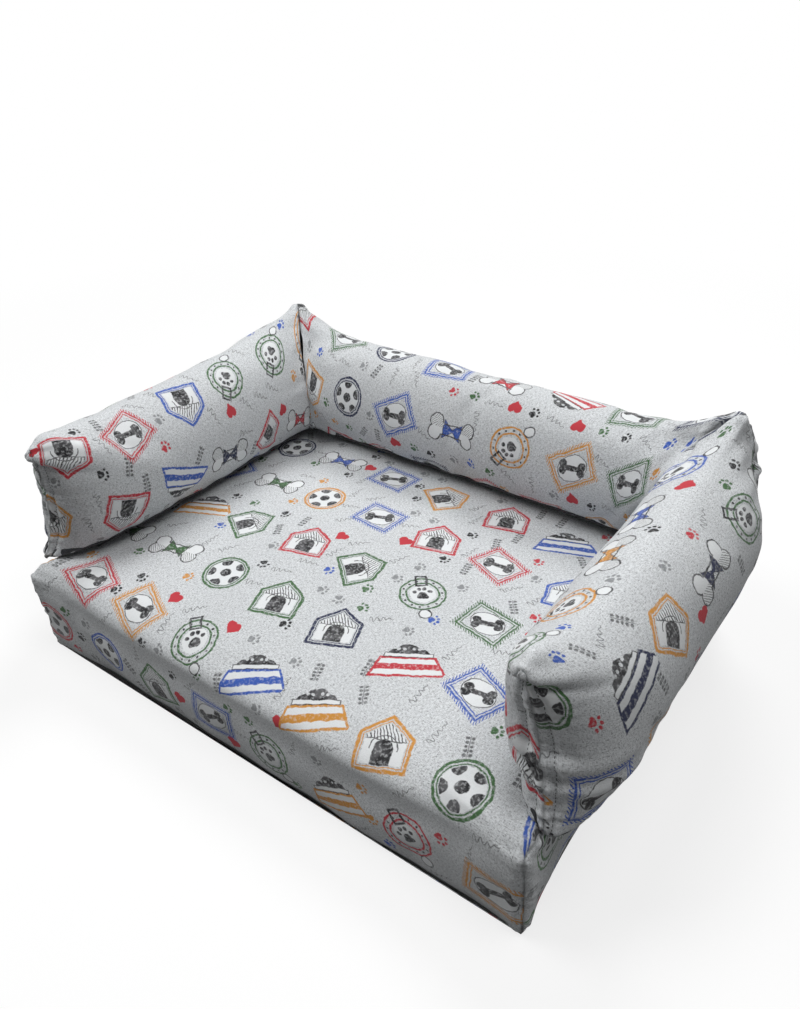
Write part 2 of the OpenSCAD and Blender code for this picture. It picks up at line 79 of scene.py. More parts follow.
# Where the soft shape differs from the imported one
FRONT_R = 0.016
EAR_RUN = 0.074
BACK_EAR_RUN = 0.050
SHOULDER_RUN = 0.018
TIP_RUN = 0.014
LOFT_RUN = 0.07
FRONT_LEAN = 0.008
FRONT_FALL = 0.012
FRONT_FALL_RUN = 0.09

# Shape of a bolster's section and of its ends
BELLY_SHARE = 0.93
TOP_POWER = 1.7
LOW_POWER = 2.6
SEAM_ANGLE = math.radians(24.5)
TAPER_POWER = 2.2
EAR_POWER = 1.2
END_EAR_RUN = 0.045
LEAN_RUN = 0.108
RECESS_RUN = 0.040
DROOP_RUN = 0.012
DROOP_CLEAR = 0.002
CROWN_REACH = 0.8

# Lines and planes that follow
FRONT_Y = -BED_D / 2 + SIDE_SWELL
BACK_Y = BED_D / 2 - BACK_OVERHANG
MID_Y = (FRONT_Y + BACK_Y) / 2
HALF_D = (BACK_Y - FRONT_Y) / 2
HALF_W = MATTRESS_W / 2
BASE_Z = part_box("back_base_cloth")[0][2]
SIDE_X = RING_W / 2 - ROLL_W / 2
BACK_LINE_Y = BED_D / 2 - ROLL_W / 2
END_Y = -BED_D / 2 + END_SETBACK
SIDE_RUN = BACK_LINE_Y - END_Y
HALF_H = ROLL_H / (1 + BELLY_SHARE)

# Zips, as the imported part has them
MATTRESS_ZIP_LEN = 0.470
MATTRESS_ZIP_Z = 0.054
RING_ZIP_LEN = 0.300
RING_ZIP_ANGLES = (math.radians(-21.07), math.radians(-6.26))
TAPE_W = 0.010
TAPE_TAIL = 0.006
TAPE_DROP = 0.0002
TAPE_SPLIT = 0.002
TAPE_T = 0.0008

# How the cushions' cloth runs round the zips, and the tapes' hidden margins
TAPE_MARGIN = 0.0048
TAPE_BEND = 0.5
ZIP_LIP = 0.0006
ZIP_RECESS = 0.004
ZIP_EDGE = 0.0022
ZIP_REGION_DEPTH = 0.03

# Hems, corners, seats and stitches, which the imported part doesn't have
HEM_Z = 0.0010
CORNER_EAR_SHARE = 0.85
CORNER_EAR_RUN = 0.050
CORNER_FLARE = (0.009, 0.006)
BOLSTER_SWELL = (0.007, 0.003)
STITCH_IN = 0.008
STITCH_PITCH = 0.0036
STITCH_LEN = 0.0025
STITCH_R = 0.00038
STITCH_LIFT = 0.001
TUBE_SIDES = 6
TUBE_RINGS = 5
SHEET_T = 0.0009
RIM_START = 0.0004
# Reaches of the dark base cloth's turned-up margins: real dark cloth, drawn up the inner foot of every
# bolster and the left bolster's outer foot far enough to stand in as painted shade in the crease under the
# bolster
RIM_AND_SHADE_REACH = 0.017
OUTER_RIM_AND_SHADE = {"left": 0.017, "right": 0.004, "back": 0.006}
CALM_RUN = 0.011
STRIP_PLACES = ("left", "back", "right")
STRIP_MARGIN = 0.010
BASE_RINGS = ((0.0010, 0.0014), (0.0010, 0.0011), (0.0016, 0.0008), (0.0040, 0.0006), (0.03, 0.0006),
              (0.12, 0.0006), (HALF_D, 0.0006))
MARK_SPAN = 0.03
HEM_WAVE = 0.0012
LUMP = 0.0012
FOAM_LUMP = 0.0011
CORNER_SINK = 0.0009
RIM_LIFT = 0.0005

# Gathers beside an ear, and the crease under a pinched end's upper corner
GATHER_H = 0.0012
GATHER_PITCH = 0.030
GATHER_SLANT = 0.42
GATHER_AT = 0.115
GATHER_BAND = 0.050
GATHER_RUN = 0.085
CREASE_H = 0.0042
CREASE_DROP = 0.018
CREASE_SLANT = 0.32
CREASE_RUN = 0.050
CREASE_W = 0.0038

# How far each cloth's places are shifted in the print, in metres
SIDE_PRINT = ((0.0, 0.17), (0.31, 0.17))
BACK_PRINT = (0.05, 0.62)
LEFT_PANEL_PRINT = (0.43, 0.02)
RIGHT_PANEL_PRINT = (0.13, 0.04)
BACK_PANEL_PRINT = (0.2, 0.3)

# Stuffing of the covers, and settings of the cloth that swells them
BOLSTER_STUFFING = {"growth": 0.03, "pressure": 6.0}
MATTRESS_STUFFING = {"growth": 0.008, "pressure": 3.0}
MATTRESS_SWELL = 0.004
CLOTH_FRAMES = 12
CLOTH = {"quality": 6, "mass": 0.25, "tension_stiffness": 12, "compression_stiffness": 12,
         "shear_stiffness": 4, "bending_stiffness": 0.05, "tension_damping": 8, "compression_damping": 8,
         "shear_damping": 8, "air_damping": 3, "vertex_group_mass": "seams", "use_pressure": True}

# Counts of the cloth grids, coarse enough to be stuffed in seconds, and smoothed afterwards
ROUND_CELLS = 44
SIDE_CELLS = 50
BACK_CELLS = 62
ACROSS_CELLS = 54
DEEP_CELLS = 42
EDGE_CELLS = 6
FRONT_CELLS = 8
UNDER_SHARES = (0, 0.03, 0.08, 0.2, 0.4, 0.6, 0.8, 0.92, 0.97, 1)
SIDE_BASE_ROWS = 44
BACK_BASE_ROWS = 50
FOOT_CELLS = 60
TAPE_ROWS = 90
ZIP_LINE_POINTS = 80
END_LINE_POINTS = 60

# The camera, set for the photograph's frame
PHOTO_H = 1009
FOCAL_PX = 836.0
SENSOR_MM = 36.0
CAMERA_AT = (0.4556, -0.5995, 0.6556)
CAMERA_YAW = 0.6383
CAMERA_PITCH = 0.5777
CAMERA_ROLL = -0.0281

# Lamps and floor
LAMP_TARGET = (0.0, 0.0, 0.1)
FLOOR_HALF = 8.0


# Small helpers on arrays of points

def reach_along(line):
    """Length of a line of points up to each of them."""
    steps = np.linalg.norm(np.diff(line, axis=0), axis=-1)
    return np.concatenate([[0], np.cumsum(steps)])


def signed_power(value, power):
    return np.sign(value) * np.abs(value) ** power


def bell(distance, run):
    inside = np.clip(1 - (distance / run) ** 2, 0, None)
    return inside ** 2


def waves(points, length, seed, count=6):
    """Smooth lumps from a few plane waves with seeded directions, between about -1 and 1."""
    draw = np.random.default_rng(seed)
    total = np.zeros(points.shape[:-1])
    for _ in range(count):
        direction = draw.normal(size=3)
        direction /= np.linalg.norm(direction)
        stretch = draw.uniform(0.7, 1.4)
        total += np.sin(points @ direction * math.tau / (length * stretch) + draw.uniform(0, math.tau))
    return total / math.sqrt(count)


def step_in(gap, soft):
    """0 outside a border, 1 inside by more than a soft width, smooth between."""
    share = np.clip(gap / soft, 0, 1)
    return share * share * (3 - 2 * share)


def nearest(*gaps):
    return np.minimum.reduce(np.broadcast_arrays(*gaps))


def seam_dip(gap, depth=0.0015, width=0.0030):
    """Valley along a seam, with the cloth a little proud beside it."""
    beside = np.exp(-((gap - 2.4 * width) / (1.7 * width)) ** 2)
    return depth * (0.7 * beside - np.exp(-(gap / width) ** 2))


def puckers(gap, along, pitch, depth, reach, seed):
    """Folds that start at a seam and die away from it, unevenly spaced and of uneven strength."""
    draw = np.random.default_rng(seed)
    shift, slow = draw.uniform(0, math.tau, 2)
    turn = along / pitch * math.tau + 1.7 * np.sin(along / pitch * 0.37 * math.tau + shift)
    strength = 0.55 + 0.45 * np.sin(along / pitch * 0.23 * math.tau + slow)
    return depth * strength * np.sin(turn) * np.exp(-(np.maximum(gap, 0) / reach) ** 1.4)


# The bolsters' skins

def roll_point(angle, end, mitre, side, ear_run=EAR_RUN):
    """A skin point out from the centre line, along it and up, from its distances to end and mitre."""
    c, s = np.cos(angle), np.sin(angle)
    power = np.where(s > 0, TOP_POWER, LOW_POWER)
    x = np.minimum(end / PINCH_RUN, 1)
    half = ROLL_W / 2 * (1 - (1 - x) ** TAPER_POWER) ** (1 / TAPER_POWER)
    u = half * signed_power(c, 2 / power)
    z = np.maximum(HALF_H * (BELLY_SHARE + signed_power(s, 2 / power)), 0)
    h = z / ROLL_H
    fade = np.exp(-(end / END_EAR_RUN) ** 1.5)
    shoulder = END_EAR_H[side] * np.exp(-((end - SHOULDER_RUN) / END_EAR_RUN) ** 2)
    shoulder = shoulder - TIP_DROP[side] * np.exp(-(end / TIP_RUN) ** 2)
    off_mitre = 1 - np.exp(-((SIDE_RUN - end) / LOFT_RUN) ** 2)
    loft = SIDE_LOFT[side] * off_mitre + shoulder
    lean = END_LEAN * np.exp(-(end / LEAN_RUN) ** 2) * (1 - 2 * h)
    slim = SLIM_SHARE[side] * off_mitre + CORNER_SHARE[side] * bell(mitre, CORNER_RUN)
    u = u * np.where(u > 0, 1 - slim, 1) + lean
    past_edge = (SIDE_X + u - HALF_W - DROOP_CLEAR) / DROOP_RUN
    droop = END_DROOP[side] * fade * (1 - h) ** 2 * np.clip(past_edge, 0, 1)
    ear = EAR_H[side] * np.exp(-(mitre / ear_run) ** EAR_POWER) * np.maximum(s, 0) ** 3
    along = END_RECESS * np.exp(-(end / RECESS_RUN) ** 2) * (1 - (2 * h - 1) ** 2)
    return u, along, z + loft * h * h - droop + ear


def section_angles(count):
    """Angles round the section, from the outer base seam over the top to the inner one, evenly spaced."""
    fine = np.linspace(-math.pi / 2 + SEAM_ANGLE, 1.5 * math.pi - SEAM_ANGLE, 2001)
    section = roll_point(fine, SIDE_RUN, SIDE_RUN, 0)
    steps = np.hypot(np.diff(section[0]), np.diff(section[2]))
    reach = np.concatenate([[0], np.cumsum(steps)])
    even = np.linspace(0, reach[-1], count + 1)
    return np.interp(even, reach, fine), even


ANGLES, REACH = section_angles(ROUND_CELLS)
GIRTH = REACH[-1]


def side_skin(side):
    """Points, print places and seam marks of a side bolster, row by row from the pinched end to the mitre.
    The marks of a point are its run over the cloth, its reach round the section and its seam gap."""
    end = (SIDE_RUN - SEAM_GAP) * np.linspace(0, 1, SIDE_CELLS + 1) ** 1.8
    angle, end = np.meshgrid(ANGLES, end)
    reach = np.broadcast_to(REACH, end.shape)
    u, along, z = roll_point(angle, end, SIDE_RUN - end, side)
    skew = (end / SIDE_RUN) ** 3
    hand = 1 if side else -1
    points = np.stack([hand * (SIDE_X + u), END_Y + end + along + u * skew, BASE_Z + z], axis=-1)
    steps = np.linalg.norm(np.diff(points, axis=0), axis=-1).mean(axis=1)
    run = np.broadcast_to(np.concatenate([[0], np.cumsum(steps)])[:, None], end.shape)
    marks = np.stack([run, reach, nearest(run, run[-1] - run, reach, GIRTH - reach)], axis=-1)
    return points, marks[..., :2], marks


def back_skin():
    """The same for the back bolster, row by row from left to right, with x in place of the end distance."""
    x = (SIDE_X - SEAM_GAP) * np.linspace(-1, 1, BACK_CELLS + 1)
    angle, x = np.meshgrid(ANGLES, x)
    reach = np.broadcast_to(REACH, x.shape)
    left = roll_point(angle, SIDE_RUN, SIDE_X - np.abs(x), 0, BACK_EAR_RUN)
    right = roll_point(angle, SIDE_RUN, SIDE_X - np.abs(x), 1, BACK_EAR_RUN)
    u, z = (np.where(x < 0, left[k], right[k]) for k in (0, 2))
    skew = np.sign(x) * (np.abs(x) / SIDE_X) ** 4
    points = np.stack([x + u * skew, BACK_LINE_Y + u, BASE_Z + z], axis=-1)
    marks = np.stack([x, reach, nearest(SIDE_X - np.abs(x), reach, GIRTH - reach)], axis=-1)
    return points, np.stack([x, reach], axis=-1), marks


# The mattress's skins

def soften(x, y, z):
    """The mattress's soft shape: crown, swelling sides, drawn-in corners and ears on the rolled edge."""
    across = x / HALF_W
    deep = (y - MID_Y) / HALF_D
    rise = np.clip(z / MATTRESS_T, 0, 1)
    belly = 4 * rise * (1 - rise)
    frontness = ((1 - deep) / 2) ** 4
    crown = CROWN * rise ** 3 * bell(np.abs(across), CROWN_REACH) * bell(np.abs(deep), CROWN_REACH)
    forward = np.maximum(FRONT_Y + FRONT_R - y, 0)
    upward = np.maximum(z - MATTRESS_T + FRONT_R, 0)
    longest = np.maximum(np.maximum(forward, upward), 1e-9)
    ear = CORNER_EAR_SHARE * np.exp(-((HALF_W - np.abs(x)) / CORNER_EAR_RUN) ** 1.5)
    ear = ear * (np.hypot(forward, upward) / longest - 1)
    at_front = np.exp(-((y - FRONT_Y) / CORNER_EAR_RUN) ** 1.5)
    flare = np.exp(-((HALF_W - np.abs(x)) / CORNER_EAR_RUN) ** 1.5) * at_front
    inward = 1 - np.exp(-((HALF_W - np.abs(x)) / FRONT_FALL_RUN) ** 2)
    hem = np.exp(-(z / 0.02) ** 2) * np.sin(x * 47 + 1) * np.sin(x * 19 + y * 40)
    return np.stack([
        x - SIDE_DRAW * across * deep ** 2 + SIDE_SWELL * across * belly * (1 - deep ** 2)
        + CORNER_FLARE[0] * np.sign(x) * flare,
        y + frontness * (FRONT_DRAW * across ** 2 - SIDE_SWELL * belly * (1 - across ** 2)) - ear * forward
        + HEM_WAVE * frontness * hem - CORNER_FLARE[1] * flare - FRONT_LEAN * at_front * rise ** 1.5,
        z + crown + ear * upward - FRONT_FALL * at_front * inward * rise ** 2], axis=-1)


def front_profile():
    """Line over the front, the rolled edge and the top, as y, z and the length of cloth so far."""
    foot = np.stack([np.full(FRONT_CELLS, FRONT_Y),
                     np.linspace(HEM_Z, MATTRESS_T - FRONT_R, FRONT_CELLS, endpoint=False)], axis=-1)
    turn = np.linspace(0, math.pi / 2, EDGE_CELLS + 1)
    edge = np.stack([FRONT_Y + FRONT_R - FRONT_R * np.cos(turn),
                     MATTRESS_T - FRONT_R + FRONT_R * np.sin(turn)], axis=-1)
    top_y = np.linspace(FRONT_Y + FRONT_R, BACK_Y, DEEP_CELLS + 1)[1:]
    top = np.stack([top_y, np.full(DEEP_CELLS, MATTRESS_T)], axis=-1)
    line = np.concatenate([foot, edge, top])
    return line, reach_along(line)


def seam_marks(gap):
    """Marks of a mattress cloth, which only say how far its points lie from a seam."""
    return np.stack([gap, gap, gap], axis=-1)


def top_skin():
    line, length = front_profile()
    columns = np.linspace(-HALF_W, HALF_W, ACROSS_CELLS + 1)
    x, row = np.meshgrid(columns, np.arange(len(line)), indexing="ij")
    points = soften(x, line[row, 0], line[row, 1])
    gap = nearest(HALF_W - np.abs(x), length[-1] - length[row])
    return points, np.stack([x, length[row]], axis=-1), seam_marks(gap)


def side_panel_skin(hand):
    line, _ = front_profile()
    columns = line[FRONT_CELLS:]
    share = np.linspace(0, 1, FRONT_CELLS + EDGE_CELLS + 1)
    column, up = np.meshgrid(np.arange(len(columns)), share, indexing="ij")
    y = columns[column, 0]
    z = HEM_Z + (columns[column, 1] - HEM_Z) * up
    points = soften(np.full(y.shape, hand * HALF_W), y, z)
    gap = nearest(y - FRONT_Y, BACK_Y - y, columns[column, 1] - z)
    return points, np.stack([hand * y, z], axis=-1), seam_marks(gap)


def back_panel_skin():
    x, z = np.meshgrid(np.linspace(-HALF_W, HALF_W, ACROSS_CELLS + 1),
                       np.linspace(HEM_Z, MATTRESS_T, FRONT_CELLS + EDGE_CELLS + 1), indexing="ij")
    gap = nearest(HALF_W - np.abs(x), MATTRESS_T - z)
    return soften(x, np.full(x.shape, BACK_Y), z), np.stack([-x, z], axis=-1), seam_marks(gap)


# Meshes

def grid_faces(rows, columns, first=0, flip=False):
    i, j = np.meshgrid(np.arange(rows - 1), np.arange(columns - 1), indexing="ij")
    a = first + i * columns + j
    order = (a, a + 1, a + columns + 1, a + columns)
    faces = np.stack(order[::-1] if flip else order, axis=-1).reshape(-1, 4)
    return faces.tolist()


def read_vectors(data, field, count):
    flat = np.empty(count * 3)
    data.foreach_get(field, flat)
    return flat.reshape(-1, 3)


def read_points(mesh):
    return read_vectors(mesh.vertices, "co", len(mesh.vertices))


def read_marks(mesh):
    return read_vectors(mesh.attributes["seam"].data, "vector", len(mesh.vertices))


def write_points(mesh, points):
    mesh.vertices.foreach_set("co", points.ravel())
    mesh.update()


def new_piece(name, points, faces):
    """A new object with a mesh of points and faces."""
    mesh = bpy.data.meshes.new(name)
    mesh.from_pydata(points, [], faces)
    return link_new(name, mesh)


def link_new(name, data):
    """A new object of the scene, which holds a mesh, a lamp or a camera."""
    holder = bpy.data.objects.new(name, data)
    bpy.context.scene.collection.objects.link(holder)
    return holder


def join_skins(name, skins, weld=0.0004):
    """One welded mesh from grids of (points, print places, marks, flip, sewn). The print places become a UV
    map, the marks an attribute, and what is sewn a vertex group that the stuffing leaves in place."""
    points, places, marks, faces, seams = [], [], [], [], []
    for skin_points, skin_places, skin_marks, flip, sewn in skins:
        rows, columns = skin_points.shape[:2]
        faces += grid_faces(rows, columns, len(points), flip)
        seams += (len(points) + np.flatnonzero(sewn)).tolist()
        points += skin_points.reshape(-1, 3).tolist()
        places += skin_places.reshape(-1, 2).tolist()
        marks += skin_marks.reshape(-1, 3).tolist()
    piece = new_piece(name, points, faces)
    mesh = piece.data
    layer = mesh.uv_layers.new(name="print")
    corners = np.empty(len(mesh.loops), dtype=np.int32)
    mesh.loops.foreach_get("vertex_index", corners)
    layer.data.foreach_set("uv", np.array(places)[corners].ravel())
    mesh.attributes.new("seam", "FLOAT_VECTOR", "POINT").data.foreach_set("vector", np.array(marks).ravel())
    piece.vertex_groups.new(name="seams").add(seams, 1.0, "REPLACE")
    body = bmesh.new()
    body.from_mesh(mesh)
    bmesh.ops.remove_doubles(body, verts=body.verts, dist=weld)
    bmesh.ops.dissolve_degenerate(body, edges=body.edges, dist=weld / 10)
    bmesh.ops.recalc_face_normals(body, faces=body.faces)
    if body.calc_volume(signed=True) < 0:
        bmesh.ops.reverse_faces(body, faces=body.faces)
    body.to_mesh(mesh)
    body.free()
    mesh.shade_smooth()
    return piece


def close_holes(piece):
    """Closes every open border of a piece with one face."""
    body = bmesh.new()
    body.from_mesh(piece.data)
    borders = [edge for edge in body.edges if edge.is_boundary]
    bmesh.ops.holes_fill(body, edges=borders, sides=0)
    bmesh.ops.recalc_face_normals(body, faces=body.faces)
    body.to_mesh(piece.data)
    body.free()


def border_of(points):
    """Marks the outermost rows and columns of a grid."""
    marked = np.zeros(points.shape[:2], dtype=bool)
    marked[[0, -1], :] = True
    marked[:, [0, -1]] = True
    return marked


def stuff(piece, growth, pressure, cap):
    """Swells a sewn cover by cloth simulation: the seams hold and the cloth between them gives."""
    scene = bpy.context.scene
    before = read_points(piece.data)
    cloth = piece.modifiers.new("Cloth", "CLOTH")
    settings = cloth.settings
    for name, value in CLOTH.items():
        setattr(settings, name, value)
    settings.shrink_min = -growth
    settings.uniform_pressure_force = pressure
    settings.effector_weights.gravity = 0
    cloth.collision_settings.use_collision = False
    cloth.point_cache.frame_start = 1
    cloth.point_cache.frame_end = CLOTH_FRAMES
    for step in range(1, CLOTH_FRAMES + 1):
        scene.frame_set(step)
    swollen = piece.evaluated_get(bpy.context.evaluated_depsgraph_get())
    move = read_points(swollen.data) - before
    piece.modifiers.remove(cloth)
    scene.frame_set(1)
    far = np.linalg.norm(move, axis=1, keepdims=True)
    held = cap * np.tanh(far / cap) / np.maximum(far, 1e-9)
    write_points(piece.data, before + move * held)


def apply_modifiers(piece):
    finished = bpy.data.meshes.new_from_object(piece.evaluated_get(bpy.context.evaluated_depsgraph_get()))
    piece.modifiers.clear()
    piece.data = finished
    finished.shade_smooth()


def refine(piece, levels=2):
    """Smooth subdivision of a finished piece, applied to its mesh."""
    subdivision = piece.modifiers.new("Subdivision", "SUBSURF")
    subdivision.levels = levels
    subdivision.uv_smooth = "PRESERVE_BOUNDARIES"
    apply_modifiers(piece)


def thicken(piece, thickness):
    """Gives a sheet its thickness, half to each side, with closed edges."""
    solidify = piece.modifiers.new("Thickness", "SOLIDIFY")
    solidify.thickness = thickness
    solidify.offset = 0
    apply_modifiers(piece)


def sculpt(piece, rise):
    """Moves each point of a piece along its normal by what a function of points, marks and normals says."""
    mesh = piece.data
    points = read_points(mesh)
    normals = read_vectors(mesh.vertices, "normal", len(points))
    move = rise(points, read_marks(mesh), normals)
    write_points(mesh, points + normals * move[:, None])


class Skin:
    """Finds points on a finished piece by the marks that its cloth carries."""

    def __init__(self, piece):
        mesh = piece.data
        mesh.calc_loop_triangles()
        self.points = [vertex.co.copy() for vertex in mesh.vertices]
        self.flat = [Vector((mark[0], mark[1], 0)) for mark in read_marks(mesh)]
        corners = np.array([tuple(triangle.vertices) for triangle in mesh.loop_triangles])
        reach = read_marks(mesh)[corners][:, :, :2]
        small = (np.ptp(reach, axis=1) < MARK_SPAN).all(axis=1)
        self.triangles = corners[small].tolist()
        self.tree = BVHTree.FromPolygons(self.flat, self.triangles)

    def at(self, first, second, lift=0.0):
        """The point whose first two marks are these, lifted off the cloth."""
        place, _, index, _ = self.tree.find_nearest((first, second, 0))
        corners = self.triangles[index]
        flat = [self.flat[k] for k in corners]
        solid = [self.points[k] for k in corners]
        normal = (solid[1] - solid[0]).cross(solid[2] - solid[0]).normalized()
        return barycentric_transform(place, *flat, *solid) + normal * lift

    def row(self, firsts, seconds):
        """A line on the cloth and the directions out of it, for stitches."""
        line = np.array([self.at(a, b) for a, b in zip(firsts, seconds)])
        lifted = np.array([self.at(a, b, STITCH_LIFT) for a, b in zip(firsts, seconds)])
        return line, lifted - line


def sheet_piece(name, points, thickness, levels=1):
    """A cloth of its own, from a grid of middle points, with its places in metres as its UV map."""
    along = np.linalg.norm(np.diff(points, axis=0), axis=-1).mean(axis=1)
    across = np.linalg.norm(np.diff(points, axis=1), axis=-1).mean(axis=0)
    u = np.concatenate([[0], np.cumsum(along)])
    v = np.concatenate([[0], np.cumsum(across)])
    places = np.stack(np.meshgrid(u, v, indexing="ij"), axis=-1)
    none_sewn = np.zeros(points.shape[:2], dtype=bool)
    piece = join_skins(name, [(points, places, np.ones(points.shape), False, none_sewn)], weld=0.00002)
    refine(piece, levels)
    thicken(piece, thickness)
    return piece


def stitch_tube(line, length, outward, start):
    """Points of one small arched tube of thread, ring after ring, from a distance along a line."""
    turn = np.arange(TUBE_SIDES) * math.tau / TUBE_SIDES
    stops = start + STITCH_LEN * np.linspace(0, 1, TUBE_RINGS)
    middle = np.stack([np.interp(stops, length, line[:, k]) for k in range(3)], axis=-1)
    out = np.array([np.interp(start, length, outward[:, k]) for k in range(3)])
    out /= np.linalg.norm(out)
    ahead = (middle[-1] - middle[0]) / np.linalg.norm(middle[-1] - middle[0])
    beside = np.cross(ahead, out)
    arch = np.sin(np.linspace(0, math.pi, TUBE_RINGS))
    middle += out * (STITCH_R * (1.5 * arch - 0.8))[:, None]
    size = STITCH_R * (0.55 + 0.45 * arch)
    spokes = np.cos(turn)[None, :, None] * beside + np.sin(turn)[None, :, None] * out
    return (middle[:, None, :] + size[:, None, None] * spokes).reshape(-1, 3).tolist()


def tube_faces(first):
    """Sides and both ends of a tube whose points start at an index."""
    faces = []
    for a in range(first, first + (TUBE_RINGS - 1) * TUBE_SIDES, TUBE_SIDES):
        b = a + TUBE_SIDES
        for j in range(TUBE_SIDES):
            k = (j + 1) % TUBE_SIDES
            faces.append((a + j, a + k, b + k, b + j))
    last = first + (TUBE_RINGS - 1) * TUBE_SIDES
    return faces + [tuple(range(first, first + TUBE_SIDES))[::-1], tuple(range(last, last + TUBE_SIDES))]


def stitches(name, lines, body, material):
    """Sewing thread along lines of surface points, each line with its directions out of the cloth."""
    points, faces = [], []
    for line, outward in lines:
        length = reach_along(line)
        for start in np.arange(0, length[-1] - STITCH_LEN, STITCH_PITCH):
            faces += tube_faces(len(points))
            points += stitch_tube(line, length, outward, start)
    piece = new_piece(name, points, faces)
    piece.data.shade_smooth()
    set_material(piece, material)
    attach(piece, body)


def set_material(piece, material):
    piece.data.materials.clear()
    piece.data.materials.append(material)


# Materials

class Number:
    """A number that shader nodes work out, so that a sum in the script reads as a sum."""

    def __init__(self, tree, socket):
        self.tree = tree
        self.socket = socket

    def math(self, operation, *others):
        node = add_node(self.tree, "Math", enumerate((self, *others)), operation=operation)
        return Number(self.tree, node.outputs[0])

    __add__ = partialmethod(math, "ADD")
    __sub__ = partialmethod(math, "SUBTRACT")
    __mul__ = partialmethod(math, "MULTIPLY")
    __truediv__ = partialmethod(math, "DIVIDE")
    __abs__ = partialmethod(math, "ABSOLUTE")
    least = partialmethod(math, "MINIMUM")
    most = partialmethod(math, "MAXIMUM")
    floor = partialmethod(math, "FLOOR")
    sine = partialmethod(math, "SINE")
    cosine = partialmethod(math, "COSINE")
    above = partialmethod(math, "GREATER_THAN")
    below = partialmethod(math, "LESS_THAN")

    def __neg__(self):
        return self * -1

    def within(self, low, high):
        """1 where the number lies between two limits."""
        middle = (low + high) / 2
        return self.math("COMPARE", middle, (high - low) / 2)

    def ramp(self, start, end, low=0.0, high=1.0):
        node = add_node(self.tree, "MapRange", {"Value": self, "From Min": start, "From Max": end,
                                                "To Min": low, "To Max": high})
        return Number(self.tree, node.outputs[0])

    def ink(self, blur=0.35):
        """1 inside a shape whose border is at zero, 0 outside, with a soft edge in millimetres."""
        return self.ramp(blur, -blur)


def feed(tree, slot, value):
    if isinstance(value, Number):
        tree.links.new(value.socket, slot)
    elif isinstance(value, bpy.types.NodeSocket):
        tree.links.new(value, slot)
    else:
        slot.default_value = value


def set_inputs(tree, node, inputs):
    for key, value in dict(inputs).items():
        feed(tree, node.inputs[key], value)


def add_node(tree, kind, inputs=(), **settings):
    """A shader node with its settings, and with values or links at its inputs, told by name or number."""
    node = tree.nodes.new(f"ShaderNode{kind}")
    for name, value in settings.items():
        setattr(node, name, value)
    set_inputs(tree, node, inputs)
    return node


def parts_of(tree, socket, kind="XYZ"):
    """The three numbers of a vector or a colour."""
    node = add_node(tree, f"Separate{kind}", {0: socket})
    return [Number(tree, output) for output in node.outputs[:3]]


def distance(x, y, to_x=0.0, to_y=0.0):
    """How far the point x, y lies from another one."""
    here = add_node(x.tree, "CombineXYZ", {0: x, 1: y})
    node = add_node(x.tree, "VectorMath", {0: here.outputs[0], 1: (to_x, to_y, 0.0)}, operation="DISTANCE")
    return Number(x.tree, node.outputs["Value"])


def noise(tree, place, scale, detail=2.0, roughness=0.5):
    return add_node(tree, "TexNoise", {"Vector": place, "Scale": scale, "Detail": detail,
                                       "Roughness": roughness})


def grain(tree, place, scale, detail=2.0, stretch=None):
    """A noise value, on a place stretched by factors where they are given."""
    if stretch:
        place = add_node(tree, "Mapping", {"Vector": place, "Scale": stretch}).outputs[0]
    return Number(tree, noise(tree, place, scale, detail).outputs[0])


def paint(tree, under, over, mask):
    """Lays one colour over another where the mask is 1."""
    first, second = (c if isinstance(c, bpy.types.NodeSocket) else (*c, 1.0) for c in (under, over))
    return add_node(tree, "Mix", {0: mask, 6: first, 7: second}, data_type="RGBA").outputs[2]


def bump(tree, height, strength, depth):
    return add_node(tree, "Bump", {"Strength": strength, "Distance": depth, "Height": height}).outputs[0]


class Lattice:
    """A brick lattice of cells on the cloth, each with its own middle, tilt and random numbers."""

    def __init__(self, tree, x, y, width, height, seed, tilt, stray):
        row = (y / height).floor()
        across = x / width + row * 0.5
        column = across.floor()
        key = add_node(tree, "CombineXYZ", {0: column, 1: row, 2: seed})
        dice = add_node(tree, "TexWhiteNoise", {"Vector": key.outputs[0]})
        self.kind = Number(tree, dice.outputs["Value"])
        self.dice = parts_of(tree, dice.outputs["Color"], "Color")
        local_x = (across - column - 0.5) * width + (self.dice[1] - 0.5) * stray
        local_y = (y / height - row - 0.5) * height + (self.dice[2] - 0.5) * stray
        self.middle_x = x - local_x
        self.middle_y = y - local_y
        angle = (self.dice[0] - 0.5) * tilt
        c, s = angle.cosine(), angle.sine()
        self.x = local_x * c + local_y * s
        self.y = local_y * c - local_x * s


# Colours of the print, and sizes in millimetres
RED = (0.52, 0.040, 0.055)
BLUE = (0.045, 0.11, 0.45)
OCHRE = (0.62, 0.28, 0.050)
GREEN = (0.055, 0.14, 0.050)
NAVY = (0.020, 0.026, 0.070)
INK = (0.016, 0.016, 0.018)
CHALK = (0.80, 0.82, 0.83)
PALE_INK = (0.26, 0.27, 0.28)
MOTIF_SIZE = 29.0
PRINT_WOBBLE = 4.2


def pick_colour(tree, dice, colours):
    """One of some colours, by a random number."""
    chosen = colours[0]
    for k, colour in enumerate(colours[1:], 1):
        chosen = paint(tree, chosen, colour, dice.above(k / len(colours)))
    return chosen


def hatching(x, y, pitch, slant, share):
    """Slanted pencil lines, as a shape."""
    return ((x + y * slant) * (math.tau / pitch)).sine() * (-pitch / 4) + share


